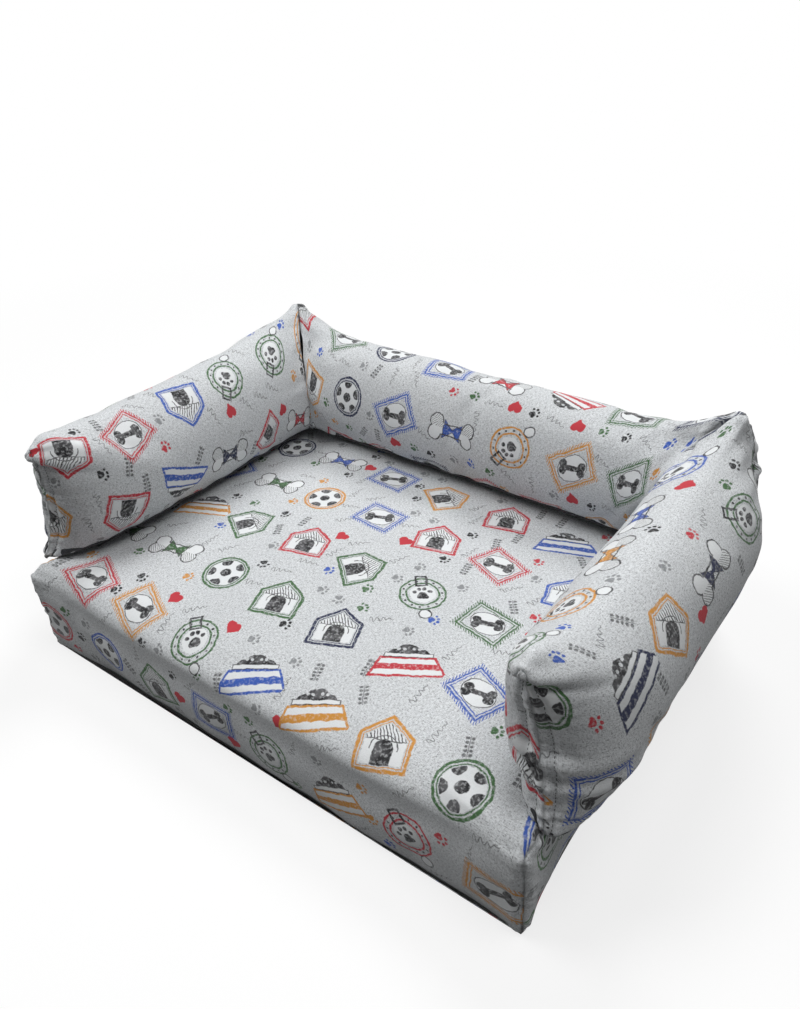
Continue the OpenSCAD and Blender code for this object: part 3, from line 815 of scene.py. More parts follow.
def kennel(x, y):
    """A dog house: a double outline, a hatched roof and a dark arched door with chalk before it."""
    side = abs(x)
    shell = (side - 25).most(-y - 24).most(side * 0.62 + y * 0.78 - 22)
    wall = shell + 6.5
    door = (side - 9).most(-y - 18).most(y + 5).least(distance(x, y, 0, -5) - 9)
    roof = wall.most(-y + 3)
    tiles = hatching(x, y, 3.2, 0.5, 0.35).most(roof)
    mat = abs(distance(x, y, 0, -5) - 12.5) - 0.5
    mat = mat.most(wall).most(-y - 6)
    beam = (abs(y - 3) - 0.5).most(wall)
    return {"chalk": wall, "line": (abs(shell + 1.5) - 1.5).least(abs(shell + 4.6) - 0.5),
            "dark": door.least(tiles).least(mat).least(beam)}


def patch(x, y):
    """A sewn-on patch: a double border with thread ends round it, and a dark bone on a chalk field."""
    side, up = abs(x), abs(y)
    square = (side - 26).most(up - 21)
    turned_x, turned_y = x * 0.88 + y * 0.47, y * 0.88 - x * 0.47
    bone_side, bone_up = abs(turned_x), abs(turned_y)
    knob = distance(bone_side, bone_up, 11.5, 3.6) - 4.6
    bone_shape = knob.least((bone_side - 11).most(bone_up - 3.0))
    ends = hatching(x, y, 3.4, 1.0, 0.2).most(abs(square - 0.6) - 1.5)
    border = (abs(square + 1.9) - 1.0).least(abs(square + 4.9) - 0.6).least(ends)
    field = distance(x, y * 1.25) - 18
    return {"chalk": field, "line": border,
            "dark": bone_shape.least(abs(field) - 0.5)}


def ball(x, y):
    """A play ball with dark patches and a double coloured rim."""
    out = distance(x, y)
    turn = y.math("ARCTAN2", x).math("PINGPONG", math.pi / 5)
    spot = distance(out * turn.cosine(), out * turn.sine(), 17.5, 0) - 6.2
    core = out - 6.0
    return {"chalk": out - 19, "line": (abs(out - 24) - 1.3).least(abs(out - 20.6) - 0.7),
            "dark": spot.most(out - 19).least(core)}


def bone(x, y):
    """A chalk bone with a dark outline and a coloured bow tied round it."""
    side, up = abs(x), abs(y)
    knob = distance(side, up, 22, 7) - 8.6
    shape = knob.least((side - 22).most(up - 6.6))
    bow = (side - 12).most(up - side * 0.8 - 1.8)
    shade = hatching(x, y, 2.6, 0.7, 0.4).most(shape + 1).most(y + 1)
    return {"chalk": shape, "line": bow,
            "dark": (abs(shape) - 0.8).least(abs(bow + 0.4) - 0.4).least(shade)}


def bowl(x, y):
    """A food bowl: a banded body, a chalk rim and a dark heap of biscuits."""
    side = abs(x)
    body = (side + y * 0.42 - 27).most(abs(y + 11) - 12)
    rim = (side - 23).most(abs(y - 3.2) - 2.4)
    heap = (distance(x, y, 0, 4) - 13).least(distance(side, y, 12.5, 3.5) - 7.5).most(-y + 5.4)
    light_spot = distance(abs(side - 7), y, 2.5, 11) - 1.6
    lines = (abs(body + 1.3) - 1.3).least((abs(y + 11) - 3.4).most(body))
    return {"chalk": rim.least(body + 2.6), "line": lines,
            "dark": heap.most(-light_spot).least(abs(rim) - 0.5)}


def collar(x, y):
    """A collar laid in a ring: two coloured edges with dark stitches between, a buckle and a tag."""
    out = distance(x, y)
    turn = y.math("ARCTAN2", x).math("PINGPONG", math.pi / 14)
    stud = distance(out * turn.cosine(), out * turn.sine(), 20, 0) - 1.3
    edges = abs(abs(out - 20) - 3.4) - 1.1
    tag = distance(x, y, 0, -30) - 6.0
    buckle = abs((abs(x) - 5.4).most(abs(y - 20) - 7.0)) - 1.2
    return {"chalk": tag.least(out - 13), "line": edges,
            "dark": buckle.least(stud).least(abs(tag) - 0.7).least(paw(x, y, 1.5))}


def paw(x, y, size=1.0):
    """A paw print: a pad and four toes."""
    side = abs(x)
    pad = distance(x, y, 0, -1.6 * size) - 3.3 * size
    pad = pad.least(distance(side, y, 2.0 * size, -3.0 * size) - 2.1 * size)
    inner = distance(side, y, 1.9 * size, 5.0 * size) - 1.6 * size
    outer = distance(side, y, 5.2 * size, 2.2 * size) - 1.5 * size
    return pad.least(inner).least(outer)


def heart(x, y):
    side = abs(x)
    lobe = distance(side, y, 3.6, 2.6) - 4.5
    point = (side * 0.72 + y * -0.70 - 5.9).most(y - 3.4).most(side - 8)
    return lobe.least(point)


def curl(x, y):
    """A scribbled wave of ink, high at its start and running out into a flourish."""
    size = x.ramp(-11, 9, 3.4, 0.7)
    wave = (x * 1.05).sine() * size + x * 0.08
    steep = (x * 1.05).cosine() * size * 1.05
    slope = (steep * steep + 1).math("SQRT")
    return (abs(y - wave) / slope - 0.38).most(abs(x) - 12)


def sprig(x, y):
    """A stem with pairs of small leaves."""
    step = (x / 4.2).math("PINGPONG", 0.5) * 4.2
    leaf = distance(step, (abs(y) - 2.4) * 0.7, 0.3, 0) - 1.15
    stem = abs(y) - 0.35
    return leaf.least(stem).most(abs(x) - 10.5)


def canvas_colour(tree, place):
    """Pale melange of the unprinted cloth: cross-woven threads, dark flecks and light slubs."""
    threads = grain(tree, place, 1.0, 2.0, (300, 1300, 1)) + grain(tree, place, 1.0, 2.0, (1300, 300, 1))
    fleck = grain(tree, place, 1.0, 2.0, (460, 1200, 1))
    slub = grain(tree, place, 1.0, 1.0, (700, 300, 1))
    cloud = grain(tree, place, 14.0, 3.0)
    shade = paint(tree, (0.49, 0.505, 0.52), (0.74, 0.765, 0.78), threads.ramp(0.80, 1.14))
    shade = paint(tree, shade, (0.15, 0.155, 0.165), fleck.ramp(0.57, 0.66, 0.0, 0.80))
    shade = paint(tree, shade, (0.84, 0.86, 0.88), slub.ramp(0.60, 0.70, 0.0, 0.6))
    return paint(tree, shade, (0.52, 0.54, 0.56), cloud.ramp(0.40, 0.70, 0.0, 0.22))


def print_design(tree, place, cloth):
    """The printed motifs over the cloth's own colour."""
    wobble = noise(tree, place, 110.0, 3.0, 0.6).outputs["Color"]
    x, y = (axis * 1000 + (stray - 0.5) * PRINT_WOBBLE
            for axis, stray in zip(parts_of(tree, place)[:2], parts_of(tree, wobble, "Color")))
    worn = grain(tree, place, 330.0, 3.0).ramp(0.30, 0.50, 0.55, 1.0)
    charcoal = paint(tree, INK, (0.11, 0.11, 0.115), grain(tree, place, 90.0, 3.0).ramp(0.42, 0.62))
    big_cells = {"width": 79, "height": 83, "seed": 2.0, "tilt": 1.5, "stray": 7.0}
    big = Lattice(tree, x, y, **big_cells)
    small = Lattice(tree, x, y, width=27, height=28, seed=5.0, tilt=5.0, stray=5.0)
    owner = Lattice(tree, small.middle_x, small.middle_y, **big_cells)
    free = distance(owner.x, owner.y).above(MOTIF_SIZE + 6)
    print_colours = (PALE_INK, INK, BLUE, GREEN, RED, OCHRE, PALE_INK, INK)
    small_colour = pick_colour(tree, small.dice[1], print_colours)
    paws = paw(small.x, small.y).ink() * small.kind.below(0.42)
    colour = paint(tree, cloth, small_colour, paws * worn * free)
    hearts = heart(small.x, small.y).ink() * small.kind.within(0.42, 0.50)
    colour = paint(tree, colour, RED, hearts * free)
    curls = curl(small.x, small.y).ink(0.4) * small.kind.within(0.50, 0.82)
    sprigs = sprig(small.x, small.y).ink(0.4) * small.kind.within(0.82, 0.97)
    colour = paint(tree, colour, INK, curls.most(sprigs) * free * worn * 0.8)
    line_colour = pick_colour(tree, big.dice[2], (RED, BLUE, OCHRE, GREEN, NAVY))
    motifs = (kennel, patch, ball, patch, bone, kennel, bowl, collar)
    share = 1 / len(motifs)
    for motif in dict.fromkeys(motifs):
        chosen = 0
        for k, other in enumerate(motifs):
            if other is motif:
                chosen = big.kind.within(k * share, (k + 1) * share - 1e-4) + chosen
        shape = motif(big.x, big.y)
        colour = paint(tree, colour, CHALK, shape["chalk"].ink() * chosen * 0.85)
        colour = paint(tree, colour, line_colour, shape["line"].ink() * chosen * worn)
        colour = paint(tree, colour, charcoal, shape["dark"].ink() * chosen * worn)
    return colour


def weave_bump(tree, place, depth):
    """Fine crossed threads and a softer crumple, as a bump."""
    threads = grain(tree, place, 1.0, 1.0, (300, 1500, 1)) + grain(tree, place, 1.0, 1.0, (1500, 300, 1))
    crumple = grain(tree, place, 120.0, 3.0)
    return bump(tree, threads * 0.5 + crumple * 0.9, 0.5, depth)


def new_material(name):
    material = bpy.data.materials.new(name)
    material.use_nodes = True
    tree = material.node_tree
    return material, tree, tree.nodes["Principled BSDF"]


def map_place(tree):
    return add_node(tree, "UVMap", uv_map="print").outputs[0]


def object_place(tree):
    return add_node(tree, "TexCoord").outputs["Object"]


def painted_seam_shade(tree, colour):
    """Paints shade a little into the cloth's colour in its seams, where the cloth dips, and all over a
    bolster's flat underside, whose seam gap stays zero.
    """
    mark = add_node(tree, "Attribute", attribute_name="seam").outputs["Vector"]
    # Painted shade: dark grey laid over the cloth, strongest at a seam and gone 2.8 mm from it.
    return paint(tree, colour, (0.10, 0.105, 0.11), parts_of(tree, mark)[2].ramp(0.0, 0.0028, 0.6, 0.0))


def printed_canvas():
    material, tree, shader = new_material("printed canvas")
    place = map_place(tree)
    colour = print_design(tree, place, canvas_colour(tree, place))
    # The base colour carries painted shade in the seams.
    set_inputs(tree, shader, {"Base Color": painted_seam_shade(tree, colour),
                              "Normal": weave_bump(tree, place, 0.0007), "Roughness": 0.88,
                              "Specular IOR Level": 0.25, "Sheen Weight": 0.12, "Sheen Roughness": 0.6})
    return material


def finish_with(tree, shader, colour, height, bump_depth, roughness):
    """Sets a material's colour, bump and roughness."""
    set_inputs(tree, shader, {"Base Color": colour, "Normal": bump(tree, height, 0.6, bump_depth),
                              "Roughness": roughness})


def dark_weave():
    """Black base cloth with a plain weave."""
    material, tree, shader = new_material("dark base cloth")
    place = object_place(tree)
    warp = grain(tree, place, 1.0, 1.0, (400, 2200, 2200))
    threads = warp + grain(tree, place, 1.0, 1.0, (2200, 400, 400))
    dust = grain(tree, place, 60.0, 3.0)
    colour = paint(tree, (0.012, 0.013, 0.015), (0.050, 0.053, 0.058), threads.ramp(0.8, 1.2))
    colour = paint(tree, colour, (0.09, 0.09, 0.09), dust.ramp(0.55, 0.8, 0.0, 0.4))
    finish_with(tree, shader, colour, threads, 0.0004, dust.ramp(0.3, 0.7, 0.86, 0.96))
    shader.inputs["Sheen Weight"].default_value = 0.1
    return material


def tape_weave():
    """Ribbed zip tape."""
    material, tree, shader = new_material("zip tape")
    place = map_place(tree)
    along, across = parts_of(tree, place)[:2]
    rib = (along * (math.tau / 0.0011) + (across * (math.tau / 0.0022)).sine()).sine()
    fuzz = grain(tree, place, 1500.0, 2.0)
    colour = paint(tree, (0.20, 0.21, 0.23), (0.36, 0.37, 0.39), rib.ramp(-1, 1) * 0.7 + fuzz * 0.3)
    finish_with(tree, shader, colour, rib * 0.5 + fuzz, 0.0003, fuzz.ramp(0.3, 0.7, 0.78, 0.92))
    return material


def tooth_plastic():
    """Moulded grey teeth with worn, paler patches."""
    material, tree, shader = new_material("zip teeth")
    place = object_place(tree)
    rough = grain(tree, place, 900.0, 3.0)
    wear = grain(tree, place, 150.0, 2.0)
    colour = paint(tree, (0.30, 0.31, 0.33), (0.48, 0.49, 0.51), wear.ramp(0.4, 0.65))
    finish_with(tree, shader, colour, rough, 0.00015, rough.ramp(0.3, 0.7, 0.32, 0.5))
    return material


def worn_metal():
    """Nickel-plated slider, pull and stops with fine scratches and duller patches."""
    material, tree, shader = new_material("zip metal")
    place = object_place(tree)
    scratches = grain(tree, place, 1.0, 3.0, (300, 4000, 4000))
    patches = grain(tree, place, 220.0, 3.0)
    colour = paint(tree, (0.46, 0.45, 0.43), (0.66, 0.66, 0.65), patches.ramp(0.35, 0.65))
    dull = (patches * 0.5 + scratches * 0.5).ramp(0.3, 0.7, 0.2, 0.48)
    finish_with(tree, shader, colour, scratches, 0.0001, dull)
    shader.inputs["Metallic"].default_value = 1.0
    return material


def fibres(name, place_of, grain_of, colours, depth, roughness, sheen=0.0):
    """Material of fine fibres: one grain gives its colour, its bump and its roughness."""
    material, tree, shader = new_material(name)
    fibre = grain(tree, place_of(tree), *grain_of)
    colour = paint(tree, *colours, fibre.ramp(0.35, 0.65))
    finish_with(tree, shader, colour, fibre, depth, fibre.ramp(0.3, 0.7, *roughness))
    shader.inputs["Sheen Weight"].default_value = sheen
    return material


def hook_rows():
    """Rows of small stiff hooks on a woven band."""
    material, tree, shader = new_material("hook strip")
    place = map_place(tree)
    along, across = parts_of(tree, place)[:2]
    row = (across * (math.tau / 0.0014)).sine()
    hook = (along * (math.tau / 0.0017) + row.math("SIGN") * 1.57).sine() * 0.5 + row * 0.5
    fuzz = grain(tree, place, 1200.0, 2.0)
    colour = paint(tree, (0.008, 0.008, 0.009), (0.10, 0.10, 0.11), hook.ramp(0.2, 0.9))
    height = hook.ramp(-0.2, 0.9) + fuzz * 0.3
    finish_with(tree, shader, colour, height, 0.0007, fuzz.ramp(0.3, 0.7, 0.4, 0.62))
    return material


# Pieces

def soft_piece(piece, body, nodes, material):
    set_material(piece, material)
    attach(piece, body)
    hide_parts(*nodes)


def near_ring_zip(marks, room):
    """How far inside the back bolster's zip window a mark lies, the window grown by some room."""
    low, high = np.interp(RING_ZIP_ANGLES, ANGLES, REACH)
    half_len = RING_ZIP_LEN / 2 + TAPE_TAIL
    return nearest(half_len + room - np.abs(marks[..., 0]), marks[..., 1] - low + room,
                   high + room - marks[..., 1])


def near_mattress_zip(points, room):
    """How far inside the mattress's zip window a point lies, the window grown by some room."""
    half_len = MATTRESS_ZIP_LEN / 2 + TAPE_TAIL
    off = np.abs(points[..., 2] - MATTRESS_ZIP_Z)
    return nearest(half_len + room - np.abs(points[..., 0]), TAPE_W + room - off,
                   points[..., 1] - BACK_Y + ZIP_REGION_DEPTH)


def bolster(name, skin, shift, flip, canvas, rise, swell, held=False):
    """A stuffed sleeve, closed underneath by a flat strip and at its mitres by their planes."""
    points, places, marks = skin
    places = places + shift
    sewn = border_of(points) | held
    under, under_places, under_marks = underside(points, places, marks)
    piece = join_skins(f"{name}_bolster", [
        (points, places, marks, flip, sewn),
        (under, under_places, under_marks, not flip, np.ones(under.shape[:2], dtype=bool)),
    ])
    finish_cover(piece, BOLSTER_STUFFING, swell, rise)
    soft_piece(piece, "ring", (f"{name}_cover", f"{name}_filling"), canvas)
    return Skin(piece)


def finish_cover(piece, stuffing, cap, rise):
    """Stuffs a sewn cover, smooths it, gives it its folds and closes its openings."""
    stuff(piece, cap=cap, **stuffing)
    refine(piece)
    sculpt(piece, rise)
    close_holes(piece)


def underside(points, places, marks):
    """The flat strip between a sleeve's two hems, whose marks run on past those of the hems."""
    share = np.array(UNDER_SHARES)[None, :, None]
    first, last = points[:, :1], points[:, -1:]
    flat = first + (last - first) * share
    flat_places = places[:, :1] + (places[:, -1:] - places[:, :1]) * share
    past = np.where(share < 0.5, -share, 1 - share) * ROLL_W
    flat_marks = np.where(share < 0.5, marks[:, :1], marks[:, -1:]) + past * (0, 1, 0)
    return flat, flat_places, flat_marks


def upper_share(normals):
    """1 on what faces up or sideways, 0 on an underside."""
    return step_in(normals[:, 2] + 0.85, 0.3)


def side_rise(side, length):
    """Folds of a side bolster: the stitched end seam, the mitre seam, both hems and what they pucker."""
    strength = FOLD_SHARE[side]

    def rise(points, marks, normals):
        run, reach = marks[:, 0], marks[:, 1]
        hem = np.minimum(reach, GIRTH - reach)
        height = seam_dip(np.abs(run - STITCH_IN), 0.0013, 0.0024)
        height += puckers(run, points[:, 2], 0.012, 0.0010, 0.026, 11 + side)
        height += puckers(run, points[:, 2], 0.034, 0.0024 * strength, 0.075, 21 + side)
        height += mitre_folds(length - run, reach, points[:, 2] - BASE_Z, strength, 31 + side)
        height += side * ear_gathers(length - run, reach)
        height += hem_folds(hem, run, 41 + side) + ear_crease(points, run, ROLL_H + END_EAR_H[side])
        corner = np.minimum(hem, np.abs(reach - GIRTH / 2))
        calm = 1 - np.exp(-(run ** 2 + corner ** 2) / CALM_RUN ** 2)
        return upper_share(normals) * (height * calm + LUMP * waves(points, 0.11, 51 + side))

    return rise


def back_rise(points, marks, normals):
    x, reach = marks[:, 0], marks[:, 1]
    mitre = SIDE_X - np.abs(x)
    hem = np.minimum(reach, GIRTH - reach)
    left = mitre_folds(mitre, reach, points[:, 2] - BASE_Z, FOLD_SHARE[0], 61)
    right = mitre_folds(mitre, reach, points[:, 2] - BASE_Z, FOLD_SHARE[1], 62)
    height = np.where(x < 0, left, right) + hem_folds(hem, x, 63) + LUMP * waves(points, 0.12, 64)
    zip_share = step_in(near_ring_zip(marks, 0.0), ZIP_EDGE)
    calm = step_in(-near_ring_zip(marks, 0.004), 0.02)
    lip = ZIP_LIP * step_in(near_ring_zip(marks, 0.012), 0.007)
    return upper_share(normals) * (height * calm + lip - ZIP_RECESS * zip_share)


def mitre_folds(mitre, reach, height, strength, seed):
    """Folds that start at a mitre seam, strongest by its ear and weak on its outer foot."""
    high = step_in(height - 0.05, 0.07)
    folds = puckers(mitre, reach, 0.013, 0.0012, 0.018, seed)
    folds = folds + puckers(mitre, reach, 0.031, 0.0028, 0.050, seed + 20)
    return seam_dip(mitre, 0.0020) + strength * folds * (0.25 + 0.75 * high)


def ear_gathers(mitre, reach):
    """Long folds that fan out from the ear over the outer upper side."""
    fan = reach - GATHER_SLANT * mitre
    band = np.exp(-((reach - GATHER_AT) / GATHER_BAND) ** 4)
    return GATHER_H * band * np.sin(fan * math.tau / GATHER_PITCH) * np.exp(-(mitre / GATHER_RUN) ** 2)


def ear_crease(points, run, top):
    """The fold under a pinched end's upper corner, running down and away from the seam."""
    gap = points[:, 2] - (BASE_Z + top - CREASE_DROP - CREASE_SLANT * run)
    depth = np.exp(-(run / CREASE_RUN) ** 2) * CREASE_H
    beside = 0.8 * np.exp(-((gap - 0.009) / 0.007) ** 2)
    return depth * (beside - np.exp(-(gap / CREASE_W) ** 2))


def hem_folds(hem, along, seed):
    return seam_dip(hem, 0.0010) + puckers(hem, along, 0.012, 0.0007, 0.010, seed)


def within_strips(points, past):
    """How far inside the nearest touch strip's outline, grown by a margin, points lie as seen from above."""
    depths = []
    for place in STRIP_PLACES:
        low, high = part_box(f"loop_strip_{place}")
        inside = np.minimum(points[..., :2] - low[:2], high[:2] - points[..., :2])
        depths.append(inside.min(axis=-1))
    return np.max(depths, axis=0) + past


def mattress_rise(points, marks, normals):
    """Folds of the mattress cover beside its seams, lumps of the foam, and the seat of its zip."""
    gap = marks[:, 0]
    along = points[:, 1] + points[:, 2]
    height = seam_dip(gap) + puckers(gap, along, 0.014, 0.0011, 0.016, 71)
    height += puckers(gap, along, 0.033, 0.0016, 0.040, 72) + FOAM_LUMP * waves(points, 0.17, 73)
    at_back = step_in(normals[:, 1] - 0.5, 0.2)
    zip_share = at_back * step_in(near_mattress_zip(points, 0.0), ZIP_EDGE)
    on_top = step_in(normals[:, 2] - 0.5, 0.2)
    calm = 1 - at_back * step_in(near_mattress_zip(points, 0.022), 0.016)
    calm = calm - on_top * step_in(within_strips(points, STRIP_MARGIN), STRIP_MARGIN)
    return upper_share(normals) * (height * calm - ZIP_RECESS * zip_share)


def base_of_bolster(name, skin, stations, flip, material):
    """Dark cloth under a bolster, whose margin turns up round the foot of the printed sleeve; the cloth is
    real, and its margin reaches far enough up to stand in as painted shade in the crease under the bolster
    too.
    """
    rows = []
    for station in stations:
        outer = [skin.at(station, v, RIM_LIFT) for v in np.linspace(OUTER_RIM_AND_SHADE[name], RIM_START, 5)]
        inner = [skin.at(station, GIRTH - v, RIM_LIFT) for v in np.linspace(RIM_START, RIM_AND_SHADE_REACH, 5)]
        for corner in (outer[-1], inner[0]):
            corner.z -= CORNER_SINK
        middle = [outer[-1].lerp(inner[0], share) for share in np.linspace(0, 1, 8)[1:-1]]
        rows.append([tuple(point) for point in outer + middle + inner])
    points = np.array(rows)
    if flip:
        points = points[:, ::-1]
    piece = sheet_piece(f"{name}_base", points, SHEET_T)
    soft_piece(piece, "ring", (f"{name}_base_cloth",), material)


def end_stitches(name, skin, material):
    """Two rows of stitches behind a pinched end, one on each side of its seam."""
    spans = ((0.006, GIRTH / 2 - 0.004), (GIRTH / 2 + 0.004, GIRTH - 0.006))
    firsts = np.full(END_LINE_POINTS, STITCH_IN)
    rows = [skin.row(firsts, np.linspace(low, high, END_LINE_POINTS)) for low, high in spans]
    stitches(name, rows, "ring", material)


def add_bolsters(canvas, dark, thread):
    for side, name in enumerate(("left", "right")):
        cloth = side_skin(side)
        length = cloth[2][-1, 0, 0]
        skin = bolster(name, cloth, SIDE_PRINT[side], side == 1, canvas, side_rise(side, length),
                       BOLSTER_SWELL[side])
        base_of_bolster(name, skin, np.linspace(0.007, length - 0.001, SIDE_BASE_ROWS), side == 1, dark)
        end_stitches(f"{name}_end_stitches", skin, thread)
    cloth = back_skin()
    held = near_ring_zip(cloth[2], 0.006) > 0
    skin = bolster("back", cloth, BACK_PRINT, False, canvas, back_rise, BOLSTER_SWELL[0], held)
    base_of_bolster("back", skin, np.linspace(-SIDE_X + 0.001, SIDE_X - 0.001, BACK_BASE_ROWS), False, dark)
    rows = []
    for angle, past in zip(RING_ZIP_ANGLES, (-ZIP_EDGE, ZIP_EDGE)):
        reach = float(np.interp(angle, ANGLES, REACH)) + past
        along = np.linspace(-RING_ZIP_LEN / 2, RING_ZIP_LEN / 2, ZIP_LINE_POINTS)
        rows.append(skin.row(along, np.full(ZIP_LINE_POINTS, reach)))
    stitches("ring_zip_stitches", rows, "ring", thread)


def add_mattress(canvas, dark, thread):
    top, back = top_skin(), back_panel_skin()
    still = {"top": within_strips(top[0], STRIP_MARGIN) > 0, "back": near_mattress_zip(back[0], 0.008) > 0}
    panels = (("top", top, (0, 0), True), ("left", side_panel_skin(-1), LEFT_PANEL_PRINT, False),
              ("right", side_panel_skin(1), RIGHT_PANEL_PRINT, True),
              ("back", back, BACK_PANEL_PRINT, False))
    piece = join_skins("mattress_cushion", [
        (points, places + shift, marks, flip, border_of(points) | still.get(name, False))
        for name, (points, places, marks), shift, flip in panels])
    finish_cover(piece, MATTRESS_STUFFING, MATTRESS_SWELL, mattress_rise)
    nodes = [f"mattress_{name}_panel" for name, *_ in panels] + ["mattress_foam"]
    soft_piece(piece, "mattress", nodes, canvas)
    rows = []
    for up in (-1, 1):
        line = np.empty((ZIP_LINE_POINTS, 3))
        line[:, 0] = np.linspace(-MATTRESS_ZIP_LEN / 2, MATTRESS_ZIP_LEN / 2, ZIP_LINE_POINTS)
        line[:, 1:] = (BACK_Y + 0.0004, MATTRESS_ZIP_Z + up * (TAPE_W + 0.0024))
        rows.append((line, np.tile((0.0, 1.0, 0.0), (ZIP_LINE_POINTS, 1))))
    stitches("mattress_zip_stitches", rows, "mattress", thread)
    add_mattress_base(dark)


def foot_line():
    """The mattress's outline, once round from its back right corner, as shares of half its sizes."""
    share = np.linspace(-1, 1, FOOT_CELLS + 1)[:-1]
    ones = np.ones(FOOT_CELLS)
    across = np.concatenate([-share, -ones, share, ones, [1]])
    deep = np.concatenate([ones, -share, -ones, share, [1]])
    return across, deep


def add_mattress_base(dark):
    """Dark base cloth, whose margin turns up inside the hem of the printed cover."""
    across, deep = foot_line()
    rings = []
    for inset, z in BASE_RINGS:
        x = across * (HALF_W - inset * HALF_W / HALF_D)
        y = MID_Y + deep * (HALF_D - inset)
        soft = soften(x, y, np.zeros_like(x))
        rings.append(np.stack([soft[:, 0], soft[:, 1], np.full(len(x), z)], axis=-1))
    piece = sheet_piece("mattress_base", np.array(rings), SHEET_T)
    soft_piece(piece, "mattress", ("mattress_base_panel",), dark)


def strip_points(low, high, z, lift):
    """A band of cloth in a box's place, with slightly wavy edges."""
    across, along = (0, 1) if high[1] - low[1] > high[0] - low[0] else (1, 0)
    s, t = np.meshgrid(np.linspace(0, 1, 64), np.linspace(0, 1, 5), indexing="ij")
    points = np.empty((*s.shape, 3))
    points[..., along] = low[along] + (high[along] - low[along]) * s
    points[..., across] = low[across] + (high[across] - low[across]) * t
    points[..., across] += 0.0002 * np.sin(s * 37 + t * 2)
    points[..., 2] = z + lift * np.sin(s * 23 + t * 3)
    return points


def add_strips(loops, hooks):
    for place in STRIP_PLACES:
        for kind, body, material in (("loop", "mattress", loops), ("hook", "ring", hooks)):
            low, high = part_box(f"{kind}_strip_{place}")
            thickness = high[2] - low[2]
            points = strip_points(low, high, (low[2] + high[2]) / 2, thickness * 0.04)
            piece = sheet_piece(f"{kind}_band_{place}", points, thickness * 0.9)
            soft_piece(piece, body, (f"{kind}_strip_{place}",), material)


def ring_zip_frame():
    """Middle of the ring's zip, the directions across its tapes and out of the cloth, and a tape's width."""
    u, _, z = roll_point(np.array(RING_ZIP_ANGLES), SIDE_RUN, SIDE_X, 0)
    low, high = (Vector((0, BACK_LINE_Y + u[k], BASE_Z + z[k])) for k in (0, 1))
    up = (high - low).normalized()
    return (low + high) / 2, up, up.cross(Vector((1, 0, 0))), (high - low).length / 2 - SEAM_GAP


def add_tapes(material):
    mattress_zip = (Vector((0, BACK_Y, MATTRESS_ZIP_Z)), Vector((0, 0, 1)), Vector((0, 1, 0)), TAPE_W)
    zips = (("mattress", "mattress_cushion", MATTRESS_ZIP_LEN, mattress_zip),
            ("ring", "back_bolster", RING_ZIP_LEN, ring_zip_frame()))
    for body, cushion, length, (centre, across, outward, width) in zips:
        for turn, place in ((1, "upper"), (-1, "lower")):
            rows = []
            for x in np.linspace(-length / 2 - TAPE_TAIL, length / 2 + TAPE_TAIL, TAPE_ROWS):
                start = centre - outward * (TAPE_DROP + TAPE_T / 2) + Vector((x, 0, 0))
                rows.append([tuple(start + across * turn * w - outward * TAPE_BEND * max(w - width, 0))
                             for w in np.linspace(TAPE_SPLIT, width + TAPE_MARGIN, 5)])
            piece = sheet_piece(f"{body}_tape_{place}", np.array(rows), TAPE_T)
            soft_piece(piece, body, (f"{body}_zip_tape_{place}",), material)


def finish_nodes(teeth, metal):
    """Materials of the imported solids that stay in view."""
    for body in ("mattress", "ring"):
        for node in ("teeth_upper", "teeth_lower", "stops", "slider", "pull"):
            material = teeth if "teeth" in node else metal
            set_material(bpy.data.objects[f"{body}_zip_{node}"], material)


# Floor, light and camera

def seen_directly(tree):
    """1 for camera, glossy and transmission rays, 0 for the light that surfaces get."""
    rays = add_node(tree, "LightPath").outputs
    seen = Number(tree, rays["Is Camera Ray"]).most(Number(tree, rays["Is Glossy Ray"]))
    return seen.most(Number(tree, rays["Is Transmission Ray"]))


def add_floor():
    """A white floor: near the object it takes its shadow, and further off it fades into the background."""
    corners = [(x * FLOOR_HALF, y * FLOOR_HALF, 0) for x, y in ((-1, -1), (1, -1), (1, 1), (-1, 1))]
    floor = new_piece("floor", corners, [(0, 1, 2, 3)])
    material, tree, shader = new_material("floor")
    length = add_node(tree, "VectorMath", {0: object_place(tree)}, operation="LENGTH")
    far = Number(tree, length.outputs["Value"]).ramp(0.55, 1.6)
    set_inputs(tree, shader, {
        "Roughness": 0.9, "Specular IOR Level": 0.0, "Emission Color": (1, 1, 1, 1),
        "Base Color": paint(tree, (0.26, 0.26, 0.26), (0.0, 0.0, 0.0), far),
        "Emission Strength": seen_directly(tree) * far.ramp(0, 1, 0.75, 1.0)})
    set_material(floor, material)


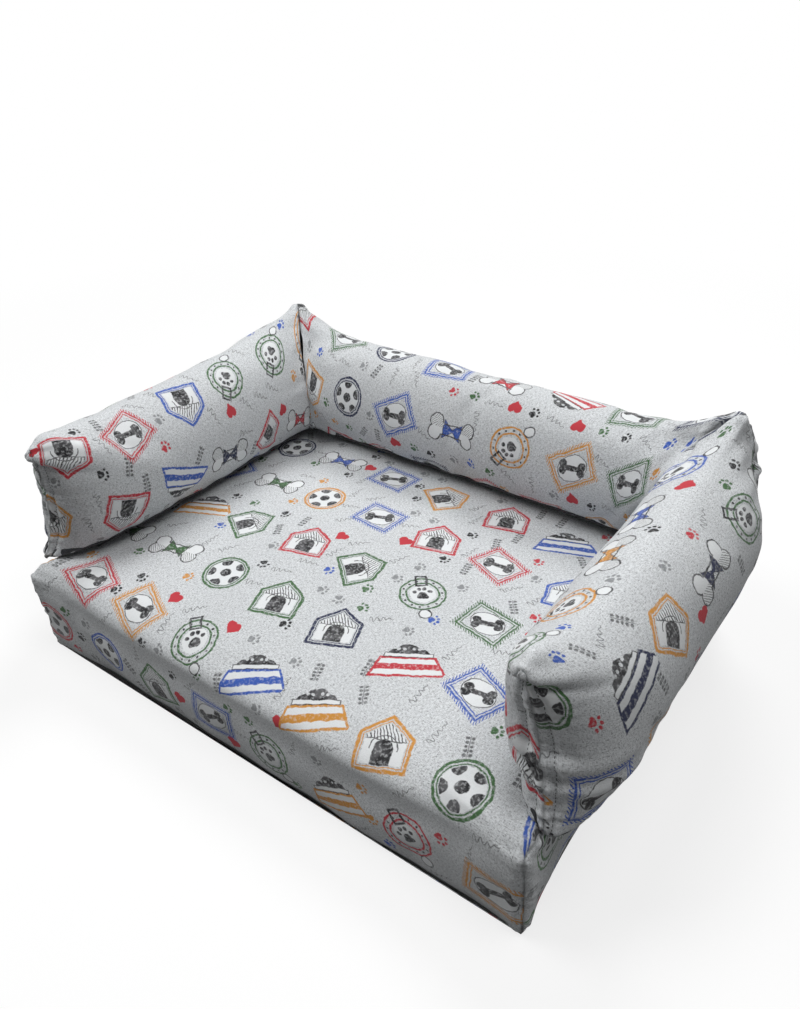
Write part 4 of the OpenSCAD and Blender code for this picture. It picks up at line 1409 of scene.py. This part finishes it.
def add_world():
    world = bpy.data.worlds.new("studio")
    bpy.context.scene.world = world
    world.use_nodes = True
    tree = world.node_tree
    strength = seen_directly(tree).ramp(0, 1, 0.11, 1.0)
    set_inputs(tree, tree.nodes["Background"], {"Color": (1, 1, 1, 1), "Strength": strength})


def add_lamp(name, place, size, power):
    lamp = bpy.data.lights.new(name, "AREA")
    lamp.shape = "DISK"
    lamp.size = size
    lamp.energy = power
    holder = link_new(name, lamp)
    holder.location = place
    holder.rotation_euler = (Vector(LAMP_TARGET) - Vector(place)).to_track_quat("-Z", "Y").to_euler()


def add_lights():
    add_lamp("front left", (-1.0, -0.7, 2.2), 1.0, 23)
    add_lamp("behind", (-0.4, 1.4, 2.2), 1.0, 31)
    add_lamp("right", (0.8, 0.0, 2.2), 1.0, 15)


def add_camera():
    camera = bpy.data.cameras.new("camera")
    camera.lens = FOCAL_PX / PHOTO_H * SENSOR_MM
    camera.sensor_width = SENSOR_MM
    camera.clip_start = 0.01
    holder = link_new("camera", camera)
    holder.location = CAMERA_AT
    forward = Vector((-math.sin(CAMERA_YAW) * math.cos(CAMERA_PITCH),
                      math.cos(CAMERA_YAW) * math.cos(CAMERA_PITCH),
                      -math.sin(CAMERA_PITCH)))
    level = Vector((math.cos(CAMERA_YAW), math.sin(CAMERA_YAW), 0))
    upright = level.cross(forward)
    right = level * math.cos(CAMERA_ROLL) + upright * math.sin(CAMERA_ROLL)
    up = upright * math.cos(CAMERA_ROLL) - level * math.sin(CAMERA_ROLL)
    holder.rotation_euler = Matrix((right, up, -forward)).transposed().to_euler()
    bpy.context.scene.camera = holder


canvas = printed_canvas()
dark = dark_weave()
thread = fibres("grey thread", object_place, (3500.0, 2.0), ((0.05, 0.052, 0.055), (0.20, 0.205, 0.21)),
                0.0001, (0.6, 0.8))
pile = fibres("loop strip", map_place, (1700.0, 3.0), ((0.006, 0.006, 0.007), (0.045, 0.045, 0.05)),
              0.0008, (0.9, 1.0), sheen=0.4)
add_bolsters(canvas, dark, thread)
add_mattress(canvas, dark, thread)
add_tapes(tape_weave())
add_strips(pile, hook_rows())
finish_nodes(tooth_plastic(), worn_metal())
add_floor()
add_world()
add_lights()
add_camera()
bpy.context.scene.view_settings.view_transform = "Standard"
